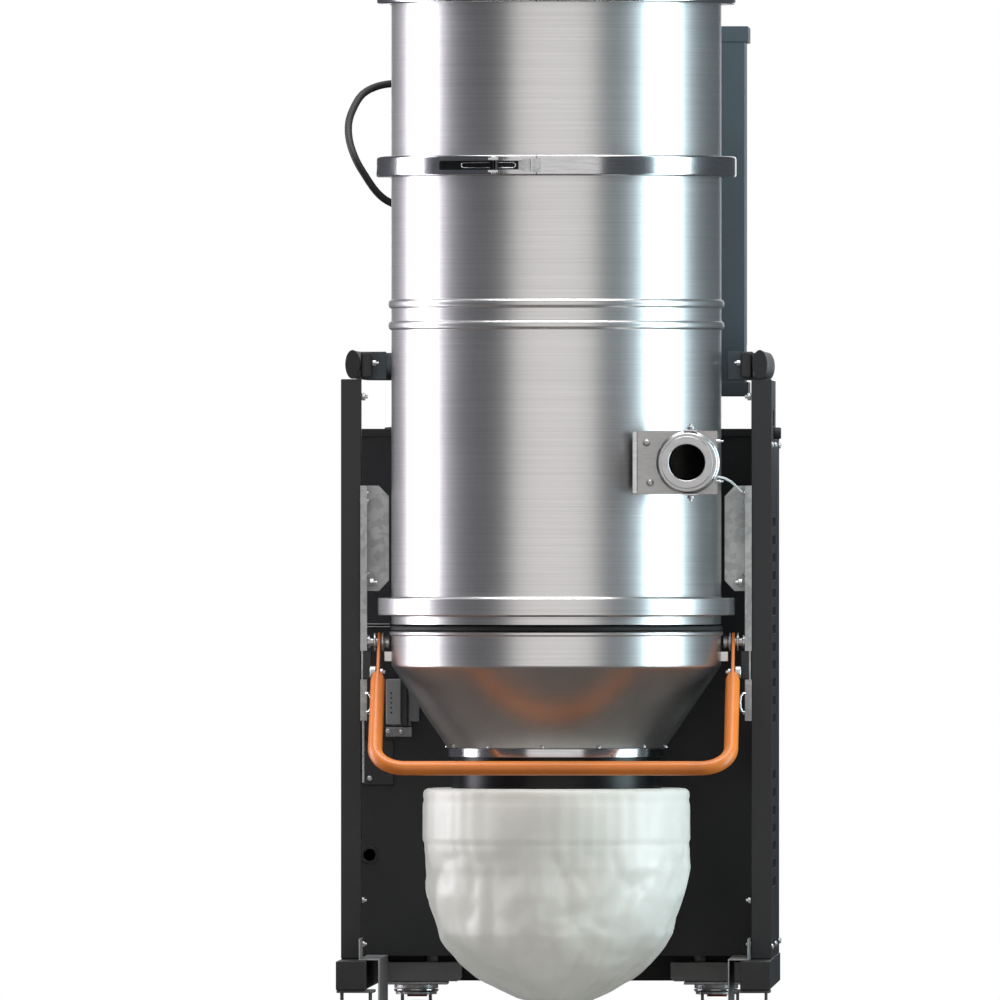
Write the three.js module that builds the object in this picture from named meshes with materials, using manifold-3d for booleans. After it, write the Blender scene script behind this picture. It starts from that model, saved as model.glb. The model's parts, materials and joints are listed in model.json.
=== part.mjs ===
// Industrial dust collector with an endless-bag discharge, in millimetres, +Z up.
// Y = 0 is the drum's axis until the last group, which centres the machine on its own box.
import * as THREE from 'three';
import { mergeVertices } from 'three/addons/utils/BufferGeometryUtils.js';
import Module from 'manifold-3d';

const wasm = await Module();
wasm.setup();

// driving dimensions
const gap = 0.4;                 // clearance between touching pieces
const frameWidth = 600;          // outside the posts
const railHeight = 40;
const castorHeight = 127;        // floor to the underside of the rails
const railFront = -200;
const railRear = 615;
const postWidth = 28;
const postTop = 975.5;
const wheelRadius = 50;
const drumRadius = 230;
const drumWall = 3;
const ringRadius = 251;          // clamp rings and flanges
const drumFoot = 634;            // bottom of the drum's skirt
const midRingZ = 1271;
const topRingZ = 1512;
const ringHeight = 29;
const lidTop = 1622;
const outletX = -130;            // suction outlet at the back of the lid
const outletRise = 55;           // lid collar above the top ring
const hopperTop = 630;
const coneTop = 574;
const coneFoot = 462;
const neckRadius = 147;
const bagRadius = 186;
const bagTop = 406;
const bagFoot = 89;
const cabinetFront = 262;
const cabinetRear = 610;
const cabinetTop = 907;
const pivotZ = 609;
const bailBarZ = 435;
const bailBarY = -213;
const inletX = 188;
const inletZ = 859;
const inletFront = -290;
const handleZ = 996;
const handleRear = 668;
const cupboardLeft = -120;       // electrical cupboard behind the drum
const cupboardRight = 261;
const cupboardFront = 262;
const cupboardRear = 440;
const cupboardFoot = 953;
const cupboardTop = 1471;
const doorFoot = 1025;           // the door clears the handle's rear bar

const halfFrame = frameWidth / 2;
const floorOfFrame = castorHeight + railHeight;
const postX = halfFrame - postWidth / 2;
const doorRear = cupboardRear + gap + 20;
const depthCentre = (inletFront + handleRear + 10) / 2;

// finishes
function finish(color, roughness, metalness) {
  return new THREE.MeshStandardMaterial({ color, roughness, metalness });
}
const steel = finish('#c4c2c1', 0.3, 1);
const darkPaint = finish('#2c2f31', 0.5, 0.1);
const greyPaint = finish('#858585', 0.5, 0.2);
const zinc = finish('#8f9190', 0.45, 0.9);
const orangePaint = finish('#e0813a', 0.4, 0.1);
const blackPlastic = finish('#151517', 0.35, 0);
const rubber = finish('#1a1a1b', 0.8, 0);
const film = finish('#e4e4de', 0.45, 0);
const filterCloth = finish('#d9d6cc', 0.9, 0);
const redPlastic = finish('#b5221c', 0.4, 0);
const greenPlastic = finish('#2a8b46', 0.4, 0);

// solids
function toSolid(geometry) {
  const bare = geometry.index ? geometry.toNonIndexed() : geometry.clone();
  bare.deleteAttribute('normal');
  bare.deleteAttribute('uv');
  const merged = mergeVertices(bare, 1e-4);
  const corners = merged.attributes.position.array;
  const faces = [];
  let volume = 0;
  const a = new THREE.Vector3();
  const b = new THREE.Vector3();
  const c = new THREE.Vector3();
  for (let i = 0; i < merged.index.count; i += 3) {
    const [p, q, r] = [0, 1, 2].map((k) => merged.index.getX(i + k));
    if (p === q || q === r || r === p) continue;
    faces.push(p, q, r);
    a.fromArray(corners, 3 * p);
    b.fromArray(corners, 3 * q);
    c.fromArray(corners, 3 * r);
    volume += a.dot(b.cross(c));
  }
  if (volume < 0) faces.reverse();
  const mesh = new wasm.Mesh({
    numProp: 3,
    vertProperties: new Float32Array(corners),
    triVerts: new Uint32Array(faces),
  });
  return new wasm.Manifold(mesh);
}

function toGeometry(solid) {
  const mesh = solid.getMesh();
  const geometry = new THREE.BufferGeometry();
  geometry.setAttribute('position', new THREE.BufferAttribute(new Float32Array(mesh.vertProperties), 3));
  geometry.setIndex(new THREE.BufferAttribute(new Uint32Array(mesh.triVerts), 1));
  geometry.computeVertexNormals();
  return geometry;
}

// a box between two corners
function block(x0, x1, y0, y1, z0, z1) {
  const box = new THREE.BoxGeometry(x1 - x0, y1 - y0, z1 - z0);
  box.translate((x0 + x1) / 2, (y0 + y1) / 2, (z0 + z1) / 2);
  return toSolid(box);
}

// a round bar along 'x', 'y' or 'z', starting at one point
function rod(axis, x, y, z, radius, length, sides = 16) {
  const bar = new THREE.CylinderGeometry(radius, radius, length, sides);
  bar.translate(0, length / 2, 0);
  if (axis === 'x') bar.rotateZ(-Math.PI / 2);
  if (axis === 'z') bar.rotateX(Math.PI / 2);
  bar.translate(x, y, z);
  return toSolid(bar);
}

// a turned piece about Z from [radius, height] pairs
function turned(profile, sides = 48) {
  const points = profile.map(([r, z]) => new THREE.Vector2(r, z));
  if (profile[0][0] > 0) points.push(points[0].clone());
  const lathe = new THREE.LatheGeometry(points, sides);
  lathe.rotateX(Math.PI / 2);
  return toSolid(lathe);
}

// a plate with a straight outline: on 'x' the outline is [y, z], on 'y' it is [x, z]
function plate(axis, outline, from, to) {
  const shape = new THREE.Shape(outline.map(([u, v]) => new THREE.Vector2(u, v)));
  const slab = new THREE.ExtrudeGeometry(shape, { depth: to - from, bevelEnabled: false });
  slab.translate(0, 0, from);
  if (axis === 'x') {
    slab.rotateX(Math.PI / 2);
    slab.rotateZ(Math.PI / 2);
  }
  if (axis === 'y') {
    slab.rotateX(Math.PI / 2);
    slab.scale(1, -1, 1);
  }
  return toSolid(slab);
}

function ellipse(halfWidth, halfHeight, sides) {
  const angles = Array.from({ length: sides }, (_, k) => (2 * Math.PI * k) / sides);
  return new THREE.Shape(angles.map((a) => new THREE.Vector2(halfWidth * Math.cos(a),
    halfHeight * Math.sin(a))));
}

// a tube along a curve; a hollow one has a bore
function swept(curve, section, bore, steps) {
  if (bore) section.holes.push(bore);
  return toSolid(new THREE.ExtrudeGeometry(section, { steps, bevelEnabled: false, extrudePath: curve }));
}

// straight runs joined by round corners
function roundedPath(points, radius) {
  const path = new THREE.CurvePath();
  let from = points[0];
  for (let i = 1; i < points.length - 1; i += 1) {
    const before = points[i - 1].clone().sub(points[i]).setLength(radius).add(points[i]);
    const after = points[i + 1].clone().sub(points[i]).setLength(radius).add(points[i]);
    path.add(new THREE.LineCurve3(from, before));
    path.add(new THREE.QuadraticBezierCurve3(before, points[i], after));
    from = after;
  }
  path.add(new THREE.LineCurve3(from, points.at(-1)));
  return path;
}

const machine = new THREE.Group();
const centred = new THREE.Group();
centred.position.y = -depthCentre;
machine.add(centred);

function piece(name, solid, material, parent = centred) {
  const mesh = new THREE.Mesh(toGeometry(solid), material);
  mesh.name = name;
  parent.add(mesh);
}

const sides = [['left', -1], ['right', 1]];

// base frame
function hollowRail(x0, x1) {
  const wall = 3;
  const outside = block(x0, x1, railFront, railRear, castorHeight, floorOfFrame);
  const inside = block(x0 + wall, x1 - wall, railFront + 4, railRear + 1, castorHeight + wall,
    floorOfFrame - wall);
  return outside.subtract(inside);
}

for (const [side, sign] of sides) {
  const inner = sign * (halfFrame - railHeight);
  const outer = sign * (halfFrame + 1);
  piece(`base_rail_${side}`, hollowRail(Math.min(inner, outer), Math.max(inner, outer)), darkPaint);
  const foot = floorOfFrame + gap;
  const post = block(-postWidth / 2, postWidth / 2, -15, 15, foot, postTop)
    .subtract(block(-postWidth / 2 + 3, postWidth / 2 - 3, -12, 12, foot - 1, postTop - 3));
  piece(`post_${side}`, post.translate([sign * postX, 0, 0]), darkPaint);
}

// rear cross rail, and the two grey boxes that carry the swivel castors
piece('rear_cross_rail', block(railHeight - halfFrame + gap, halfFrame - railHeight - gap, 574, 613,
  castorHeight + gap,
  floorOfFrame - gap), darkPaint);

function castorMount() {
  const inner = 148;
  const outer = halfFrame - railHeight - gap;
  const low = castorHeight + gap;
  const high = low + 27;
  const front = plate('y', [[outer, high], [outer, low], [inner + 5, low], [inner, low + 5], [inner,
    high]], 508, 573);
  const spacer = rod('z', 189, 540, high - 1, 8, floorOfFrame - high + 0.5, 14);
  return front.add(spacer);
}
for (const [side, sign] of sides) {
  piece(`castor_mount_${side}`, sign > 0 ? castorMount() : castorMount().mirror([1, 0, 0]), greyPaint);
}

// tray under the bag, hung on the rails by its turned-out flanges
function bagTray() {
  const half = 244;
  const lip = halfFrame - postWidth - 1;
  const wall = 2;
  const low = 56;
  const flange = floorOfFrame + gap;
  const outside = block(-half, half, -143, 225, low, flange + wall);
  const inside = block(-half + wall, half - wall, -144, 225 - wall, low + wall, flange + wall + 1);
  // the rear wall is low, so that the bag's foot can be reached from behind
  const rearLow = block(-half + wall, half - wall, 225 - wall - 1, 226, 96, flange + wall + 1);
  let tray = outside.subtract(inside).subtract(rearLow);
  for (const sign of [-1, 1]) {
    const x0 = Math.min(sign * (half - 1), sign * lip);
    const x1 = Math.max(sign * (half - 1), sign * lip);
    tray = tray.add(block(x0, x1, -143, 225, flange, flange + wall));
    tray = tray.add(block(sign > 0 ? lip - wall : -lip, sign > 0 ? lip : -lip + wall, -143, -25, flange,
      flange + 30));
  }
  return tray;
}
piece('bag_tray', bagTray(), zinc);

// castors
function wheelAt(x, y, width) {
  const half = width / 2;
  const wheel = turned([[6.3, -half], [wheelRadius - 4, -half], [wheelRadius, -half + 4], [wheelRadius,
    half - 4],
    [wheelRadius - 4, half], [6.3, half]], 24);
  return wheel.rotate([0, 90, 0]).translate([x, y, wheelRadius]);
}

function forkLegs(x, crownY, axleY, innerHalf, top) {
  const outline = [[crownY - 24, top], [crownY + 24, top], [axleY + 13, wheelRadius + 6], [axleY + 9,
    wheelRadius - 10],
    [axleY - 9, wheelRadius - 10], [axleY - 13, wheelRadius + 6]];
  const leg = 3.5;
  const axle = rod('x', x - innerHalf - leg - 4, axleY, wheelRadius, 6, 2 * (innerHalf + leg + 4), 10);
  return plate('x', outline, x - innerHalf - leg, x - innerHalf)
    .add(plate('x', outline, x + innerHalf, x + innerHalf + leg)).add(axle);
}

for (const [side, sign] of sides) {
  const x = sign * 275;
  const y = -130;
  const top = castorHeight - gap;
  const bracket = block(x - 26, x + 26, y - 42, y + 42, top - 4, top).add(forkLegs(x, y, y, 18, top - 3));
  piece(`front_castor_bracket_${side}`, bracket, zinc);
  piece(`front_castor_wheel_${side}`, wheelAt(x, y, 34), rubber);
}

const trail = 30;
for (const [side, sign] of sides) {
  const x = sign * 212;
  const y = 540;
  const top = castorHeight;
  piece(`rear_castor_plate_${side}`, block(x - 45, x + 45, y - 42, y + 42, top - 4, top)
    .add(rod('z', x, y, top - 10, 31, 8)), zinc);
  const crown = rod('z', x, y, top - 18, 29, 7.5);
  piece(`rear_castor_fork_${side}`, crown.add(forkLegs(x, y, y + trail, 18, top - 12)), zinc);
  piece(`rear_castor_wheel_${side}`, wheelAt(x, y + trail, 34), rubber);
  const pedal = plate('x', [[y + 36, top - 22], [y + 36, top - 14], [y + 84, top - 14], [y + 92,
    top - 20],
    [y + 84, top - 20]], x - 14, x + 14);
  piece(`brake_pedal_${side}`, pedal, redPlastic);
}

// cabinet
const sheet = 2;
const cabinetFoot = floorOfFrame + gap;
const cabinetHalf = halfFrame - 0.5;
const blowerFront = 320;

// front, top and left side folded from one sheet, with holes for the suction pipe and a service hole
function cabinetShell() {
  const outside = block(-cabinetHalf, cabinetHalf - sheet - gap, cabinetFront, cabinetRear, cabinetFoot,
    cabinetTop);
  const inside = block(-cabinetHalf + sheet, cabinetHalf + 1, cabinetFront + sheet, cabinetRear + 1,
    cabinetFoot - 1,
    cabinetTop - sheet);
  return outside.subtract(inside).subtract(rod('z', -200, 520, cabinetTop - 5, 42, 12, 28))
    .subtract(rod('y', -269, cabinetFront - 2, 309, 10, 8, 16));
}
piece('cabinet_shell', cabinetShell(), darkPaint);

// right side with two groups of paired louvre slots and an upper ear
function cabinetSide() {
  const x0 = cabinetHalf - sheet;
  const ear = [[18, cabinetFoot], [cabinetRear, cabinetFoot], [cabinetRear, cabinetTop], [340,
    cabinetTop],
    [340, 974], [18, 974]];
  let panel = plate('x', ear, x0, cabinetHalf).subtract(block(x0 - 1, cabinetHalf + 1, 130, 220, 911,
    932));
  const pitch = 25;
  for (const [top, rows] of [[776, 12], [422, 7]]) {
    for (let row = 0; row < rows; row += 1) {
      const z = top - row * pitch;
      for (const y of [110, 240]) {
        panel = panel.subtract(block(x0 - 1, cabinetHalf + 1, y, y + 100, z - 6, z + 6));
      }
    }
  }
  return panel;
}
piece('cabinet_side_right', cabinetSide(), darkPaint);

function rearPanel() {
  const y0 = cabinetRear + gap;
  let panel = block(-cabinetHalf, cabinetHalf, y0, y0 + sheet, cabinetFoot, cabinetTop);
  for (let row = 0; row < 8; row += 1) {
    const z = 300 + row * 25;
    panel = panel.subtract(block(-120, 120, y0 - 1, y0 + sheet + 1, z, z + 10));
  }
  return panel;
}
piece('cabinet_rear_panel', rearPanel(), darkPaint);

// shelf across the rails that carries the blower and its motor
piece('blower_shelf', block(-cabinetHalf + 6, cabinetHalf - 6, blowerFront, blowerFront + 220,
  cabinetFoot, cabinetFoot + 5), zinc);

// blower inside the cabinet: side-channel housing, impeller and motor
const blowerX = -60;
const blowerY = 430;
const blowerZ = 345;
const shelfTop = cabinetFoot + 5 + gap;
function blowerHousing() {
  const ring = turned([[40, 0], [150, 0], [165, 20], [165, 80], [150, 100], [40, 100], [40, 92], [146,
    92], [156, 78],
    [156, 22], [146, 8], [40, 8]], 28);
  const body = ring.rotate([0, 90, 0]).translate([blowerX, blowerY, blowerZ]);
  const feet = block(blowerX + 10, blowerX + 90, blowerY - 100, blowerY + 100, shelfTop, 182);
  const duct = block(blowerX + 22, blowerX + 82, blowerY - 40, blowerY + 40, 490, 560)
    .subtract(block(blowerX + 28, blowerX + 76, blowerY - 34, blowerY + 34, 480, 561));
  return body.add(feet).add(duct);
}
piece('blower_housing', blowerHousing(), greyPaint);

function blowerImpeller() {
  const hub = turned([[0, 14], [142, 14], [142, 22], [60, 20], [60, 88], [22, 88], [22, 112], [0, 112]],
    24);
  return hub.rotate([0, 90, 0]).translate([blowerX, blowerY, blowerZ]);
}
function bladedImpeller() {
  let wheel = blowerImpeller();
  for (let blade = 0; blade < 8; blade += 1) {
    const fin = block(21, 50, -2, 2, 59, 141).rotate([blade * 45, 0, 0]);
    wheel = wheel.add(fin.translate([blowerX, blowerY, blowerZ]));
  }
  return wheel;
}
piece('blower_impeller', bladedImpeller(), zinc);

function blowerMotor() {
  const start = blowerX + 113;
  const core = rod('x', start, blowerY, blowerZ, 90, 190, 32);
  const fins = [0, 1, 2, 3, 4, 5].map((turn) => block(start + 12, start + 150, -3, 3, 85, 102)
    .rotate([turn * 60, 0, 0]).translate([0, blowerY, blowerZ]));
  const box = block(start + 30, start + 110, blowerY - 40, blowerY + 40, blowerZ + 88, blowerZ + 140);
  const feet = block(start + 20, start + 160, blowerY - 70, blowerY + 70, shelfTop, 262);
  return fins.reduce((motor, fin) => motor.add(fin), core).add(box).add(feet);
}
piece('blower_motor', blowerMotor(), greyPaint);

// exhaust silencer standing on the blower's outlet duct
piece('exhaust_silencer', turned([[0, 0], [34, 0], [34, 14], [70, 20], [70, 200], [62, 208], [0, 208]],
  20)
  .translate([blowerX + 52, blowerY, 560.5]), greyPaint);

// drum, filter chamber and lid
const bore = drumRadius - drumWall;

function beads(heights) {
  return heights.flatMap((z) => [[drumRadius, z - 6], [drumRadius + 4, z - 3], [drumRadius + 4, z + 3],
    [drumRadius, z + 6]]);
}

function drumShell() {
  const top = midRingZ - gap;
  const profile = [[bore, drumFoot], [drumRadius, drumFoot], [drumRadius, 646], [249, 646], [249, 671],
    [drumRadius, 671],
    ...beads([1050, 1080]), [drumRadius, top - 10], [drumRadius + 12, top - 3], [drumRadius + 12, top],
      [bore, top]];
  const opening = block(inletX - 50, drumRadius - 12, -200, 30, inletZ - 36, inletZ + 36);
  return turned(profile, 44).subtract(opening.intersect(rod('z', 0, 0, 700, 260, 300, 32)));
}
piece('drum', drumShell(), steel);

function chamberShell() {
  const low = midRingZ + gap;
  const high = topRingZ - gap;
  return turned([[bore, low], [drumRadius + 12, low], [drumRadius + 12, low + 3], [drumRadius, low + 10],
    [drumRadius, high - 10], [drumRadius + 12, high - 3], [drumRadius + 12, high], [bore, high]], 44);
}
piece('filter_chamber', chamberShell(), steel);

// shallow domed lid with a rear outlet collar
function lidShell() {
  const low = topRingZ + gap;
  const dome = turned([[bore, low], [drumRadius + 12, low], [drumRadius + 12, low + 3], [drumRadius,
    low + 10],
    [drumRadius, low + 76], [drumRadius - 20, low + 92], [140, lidTop - 6], [60, lidTop], [0, lidTop],
      [0, lidTop - 3],
    [60, lidTop - 3], [140, lidTop - 9], [drumRadius - 22, low + 89], [bore, low + 74]], 44);
  const collar = rod('y', outletX, 150, low + outletRise, 38, 118);
  const way = rod('y', outletX, 100, low + outletRise, 34, 200);
  return dome.add(collar.subtract(rod('z', 0, 0, low - 60, drumRadius - 2, 200, 44))).subtract(way);
}
piece('lid', lidShell(), steel);

// split clamp ring with the latch's catch and pivot post on its front
const latchPivotX = -81;
const latchPivotY = -Math.sqrt(257 ** 2 - latchPivotX ** 2) - 4;
function clampRing(z) {
  const half = ringHeight / 2;
  const ring = turned([[drumRadius + 12.5, z - half + 3], [drumRadius + 2, z - half], [ringRadius,
    z - half],
    [ringRadius, z + half], [drumRadius + 2, z + half], [drumRadius + 12.5, z + half - 3]], 44);
  const split = block(-28.5, -25.5, -270, -200, z - half - 1, z + half + 1);
  const catchPlate = block(-44, -31, -257, -246, z - 9, z + 9);
  const ears = [z - 10, z + 6].map((low) => block(latchPivotX - 5, latchPivotX + 5, latchPivotY - 3,
    -236, low, low + 4));
  return ring.subtract(split).add(catchPlate).add(ears[0]).add(ears[1]);
}

// over-centre lever, bowed to lie along its ring
function latchLever(z) {
  const reach = 258;
  const bow = (angle) => [reach * Math.sin(angle), -reach * Math.cos(angle)];
  const angles = [0, 1, 2, 3, 4, 5, 6].map((step) => -0.3 - step * 0.065);
  const outer = angles.map((angle) => bow(angle).map((value) => value * 1.02));
  const inner = angles.map((angle) => bow(angle)).reverse();
  const shape = new THREE.Shape([...outer, ...inner].map(([x, y]) => new THREE.Vector2(x, y)));
  const slab = new THREE.ExtrudeGeometry(shape, { depth: 11, bevelEnabled: false });
  const lever = toSolid(slab.translate(0, 0, z - 5.5));
  return lever;
}
for (const [name, z] of [['mid', midRingZ], ['top', topRingZ]]) {
  piece(`clamp_ring_${name}`, clampRing(z), steel);
  piece(`latch_lever_${name}`, latchLever(z), steel);
}

// filter: a flat support plate under the lid and one pleated cartridge hanging from it
const plateZ = midRingZ + 60;
piece('filter_plate', turned([[110, plateZ], [bore - 3, plateZ], [bore - 3, plateZ + 4], [110,
  plateZ + 4]], 32), zinc);
piece('filter_cartridge', turned([[0, 1010], [140, 1010], [140, plateZ - gap], [106, plateZ - gap],
  [106, plateZ + 14],
  [96, plateZ + 14], [96, 1022], [0, 1022]], 24), filterCloth);

// rigid suction pipe from the lid's collar down into the cabinet
const lidOutletZ = topRingZ + gap + outletRise;
const pipeRoute = roundedPath([
  new THREE.Vector3(outletX, 269, lidOutletZ), new THREE.Vector3(outletX, 345, lidOutletZ),
  new THREE.Vector3(-200, 345, 1400), new THREE.Vector3(-200, 520, 1180), new THREE.Vector3(-200, 520,
    640),
], 60);
piece('suction_pipe', swept(pipeRoute, ellipse(37, 37, 10), ellipse(33, 33, 10), 22), darkPaint);

// tangential inlet
function inletBox() {
  const y0 = -212;
  const plateWidth = block(111, 229, y0, y0 + 4, inletZ - 44, inletZ + 44);
  const duct = block(134, 229, y0 + 3, -30, inletZ - 40, inletZ + 40)
    .subtract(block(137, 226, y0 + 2, -25, inletZ - 37, inletZ + 37));
  const outsideDrum = rod('z', 0, 0, 700, drumRadius + gap, 300, 44);
  return plateWidth.add(duct).subtract(outsideDrum).subtract(rod('y', inletX, y0 - 5, inletZ, 30, 20,
    28));
}
piece('inlet_box', inletBox(), steel);

function inletTube() {
  const back = -212 - gap;
  const wideEnd = back - 30;
  const tube = turned([[25, 0], [36, 0], [36, 12], [33, 14], [33, wideEnd - inletFront], [41,
    wideEnd - inletFront],
    [41, back - inletFront], [25, back - inletFront]], 24);
  return tube.rotate([-90, 0, 0]).translate([inletX, inletFront, inletZ]);
}
piece('inlet_tube', inletTube(), steel);

// hopper, neck and bag: they lower together when the bail is lifted
function hopperShell() {
  const profile = [[drumRadius - 2, hopperTop - 6], [drumRadius + 3, hopperTop - 6], [drumRadius + 3,
    hopperTop - 10],
    [drumRadius, hopperTop - 12], [drumRadius, coneTop], [152, coneFoot], [149, coneFoot], [bore,
      coneTop],
    [bore, hopperTop - 12]];
  let hopper = turned(profile, 44);
  for (const sign of [-1, 1]) {
    const x0 = Math.min(sign * 228, sign * 240);
    hopper = hopper.add(block(x0, x0 + 12, -12, 12, 582, 596));
  }
  return hopper;
}
piece('hopper', hopperShell(), steel);
piece('hopper_seal', turned([[bore - 1, hopperTop - 5.6], [drumRadius + 2, hopperTop - 5.6],
  [drumRadius + 2, hopperTop + 2],
  [bore - 1, hopperTop + 2]], 40), rubber);
piece('neck_ring', turned([[neckRadius - 2, 449], [152, 449], [152, coneFoot - gap], [neckRadius - 2,
  coneFoot - gap]], 36), steel);
piece('bag_magazine', turned([[neckRadius - 6, 380], [neckRadius, 380], [neckRadius, 449 - gap],
  [neckRadius - 6, 449 - gap]],
  32), blackPlastic);

// slack plastic bag hanging from the magazine, an open-mouthed cup
function bagShell() {
  const wall = 3;
  const outline = [[bagRadius, bagTop], [bagRadius + 2, 330], [183, 255], [170, 205], [152, 172], [128,
    140], [78, 110],
    [0, bagFoot]];
  const inside = outline.map(([r, z]) => [Math.max(r - wall, 0), z + (r < 160 ? wall : 0)]).reverse();
  return turned([[neckRadius + 1, bagTop], ...outline, ...inside.slice(0, -1), [bagRadius - wall,
    bagTop - wall],
    [neckRadius + 1, bagTop - wall]], 28);
}
piece('bag', bagShell(), film);

// orange bail: round bar bent to a U, with flattened eyes on the pivot pins
function bailLever() {
  const legX = 247;
  const drop = new THREE.Vector3(0, bailBarY, bailBarZ - pivotZ).normalize();
  const along = (x, distance) => new THREE.Vector3(x, drop.y * distance, pivotZ + drop.z * distance);
  const reach = Math.hypot(bailBarY, bailBarZ - pivotZ);
  const route = roundedPath([along(-legX, 82), along(-legX, reach), along(legX, reach), along(legX,
    82)], 42);
  let bail = swept(route, ellipse(10, 10, 10), null, 30);
  for (const sign of [-1, 1]) {
    const flat = block(-2.5, 2.5, -13, 13, -96, 14).subtract(rod('x', -5, 0, 0, 6.4, 10, 14));
    const tilt = -THREE.MathUtils.radToDeg(Math.atan2(-bailBarY, pivotZ - bailBarZ));
    bail = bail.add(flat.rotate([tilt, 0, 0]).translate([sign * legX, 0, pivotZ]));
  }
  return bail;
}
piece('bail_lever', bailLever(), orangePaint);

// galvanised side brackets, each with the bail's pivot pin
for (const [side, sign] of sides) {
  const inner = halfFrame - postWidth - gap;
  const mirrored = (solid) => (sign > 0 ? solid : solid.mirror([1, 0, 0]));
  const strip = block(inner - 3, inner, -22, 22, 499, 827);
  const wing = plate('y', [[inner - 2, 680], [inner - 2, 827], [248, 827], [234, 812], [234, 695], [248,
    680]], 18, 21);
  piece(`side_bracket_${side}`, mirrored(strip.add(wing)), zinc);
  const pin = rod('x', 236, 0, pivotZ, 6, inner - 3 - gap - 236, 14).add(rod('x', 233, 0, pivotZ, 9, 5,
    14))
    .add(rod('x', inner - 12, 0, pivotZ, 10, 9 - gap, 14));
  piece(`bail_pivot_${side}`, mirrored(pin), zinc);
}

// handle
const handleX = 284;
const handleRoute = roundedPath([new THREE.Vector3(-handleX, -14, handleZ), new THREE.Vector3(-handleX,
  handleRear, handleZ),
  new THREE.Vector3(handleX, handleRear, handleZ), new THREE.Vector3(handleX, -14, handleZ)], 70);
piece('handle', swept(handleRoute, ellipse(20, 10, 12), null, 24), darkPaint);

// electrical cupboard, its door and controls
function cupboardShell() {
  const body = block(cupboardLeft, cupboardRight - 4, cupboardFront, cupboardRear, cupboardFoot,
    cupboardTop)
    .subtract(block(cupboardLeft + 3, cupboardRight - 7, cupboardFront + 3, cupboardRear - 3,
      cupboardFoot + 3, doorFoot))
    .subtract(block(cupboardLeft + 3, cupboardRight - 7, cupboardFront + 3, cupboardRear + 1,
      doorFoot - 1, cupboardTop - 3))
    .subtract(rod('z', 0, 300, cupboardFoot - 1, 10, 6));
  const lips = [[cupboardFoot, cupboardFoot + 19], [cupboardTop - 21, cupboardTop]].map(([low, high]) => (
    block(cupboardRight - 5, cupboardRight, cupboardFront, cupboardRear, low, high)));
  return body.add(lips[0]).add(lips[1]);
}
piece('electrical_cupboard', cupboardShell(), darkPaint);
piece('cupboard_stand', block(-60, 200, cupboardFront + 20, cupboardFront + 60, cabinetTop + gap,
  cupboardFoot - gap), darkPaint);

const controlX = (cupboardLeft + cupboardRight) / 2;
const switchZ = 1360;
const buttonZ = 1270;
function cupboardDoor() {
  const y0 = cupboardRear + gap;
  let door = block(cupboardLeft, cupboardRight - 4, y0, doorRear, doorFoot, cupboardTop)
    .subtract(block(cupboardLeft + 2, cupboardRight - 6, y0 - 1, doorRear - 2, doorFoot + 2,
      cupboardTop - 2));
  for (const x of [controlX - 30, controlX + 30]) {
    door = door.subtract(rod('y', x, doorRear - 8, buttonZ, 11.5, 20, 20));
  }
  return door.subtract(rod('y', controlX, doorRear - 8, switchZ, 6.5, 20, 20));
}
piece('cupboard_door', cupboardDoor(), darkPaint);
piece('main_switch', rod('y', controlX, doorRear + gap, switchZ, 24, 6, 28)
  .add(block(controlX - 6, controlX + 6, doorRear + 5, doorRear + 22, switchZ - 24, switchZ + 24))
  .add(rod('y', controlX, doorRear - 14, switchZ, 6, 16, 20)), redPlastic);
for (const [name, x, paint] of [['start', controlX - 30, greenPlastic], ['stop', controlX + 30,
  redPlastic]]) {
  piece(`${name}_button`, rod('y', x, doorRear - 6, buttonZ, 11, 14, 20), paint);
}

// leads
const connectorX = -224;
piece('terminal_block', block(connectorX - 14, connectorX + 14, 236, cabinetFront - gap, 490, 556),
  blackPlastic);

// control lead: out of the cupboard's side, a loop past the drum, back to a fitting below the middle ring
const controlLead = new THREE.CatmullRomCurve3([
  [-120.5, 285, 1386], [-150, 285, 1388], [-188, 279, 1391], [-224, 261, 1392], [-254, 232, 1388],
    [-276, 196, 1376],
  [-288, 162, 1356], [-294, 125, 1332], [-291, 96, 1306], [-281, 80, 1280], [-268, 84, 1258], [-256,
    104, 1240],
  [-244, 130, 1228], [-231, 155, 1221], [-216, 180, 1217],
].map((point) => new THREE.Vector3(...point)));
piece('control_lead', swept(controlLead, ellipse(5.2, 5.2, 8), null, 30), rubber);

function leadFitting() {
  const angle = Math.atan2(180, -216);
  const stub = rod('x', drumRadius + gap, 0, 1217, 9, 24, 14).rotate([0, 0,
    THREE.MathUtils.radToDeg(angle)]);
  return stub;
}
piece('lead_fitting', leadFitting(), zinc);

export default machine;
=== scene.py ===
import json
import math

import bmesh
import bpy
from mathutils import Matrix, Vector, noise


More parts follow.
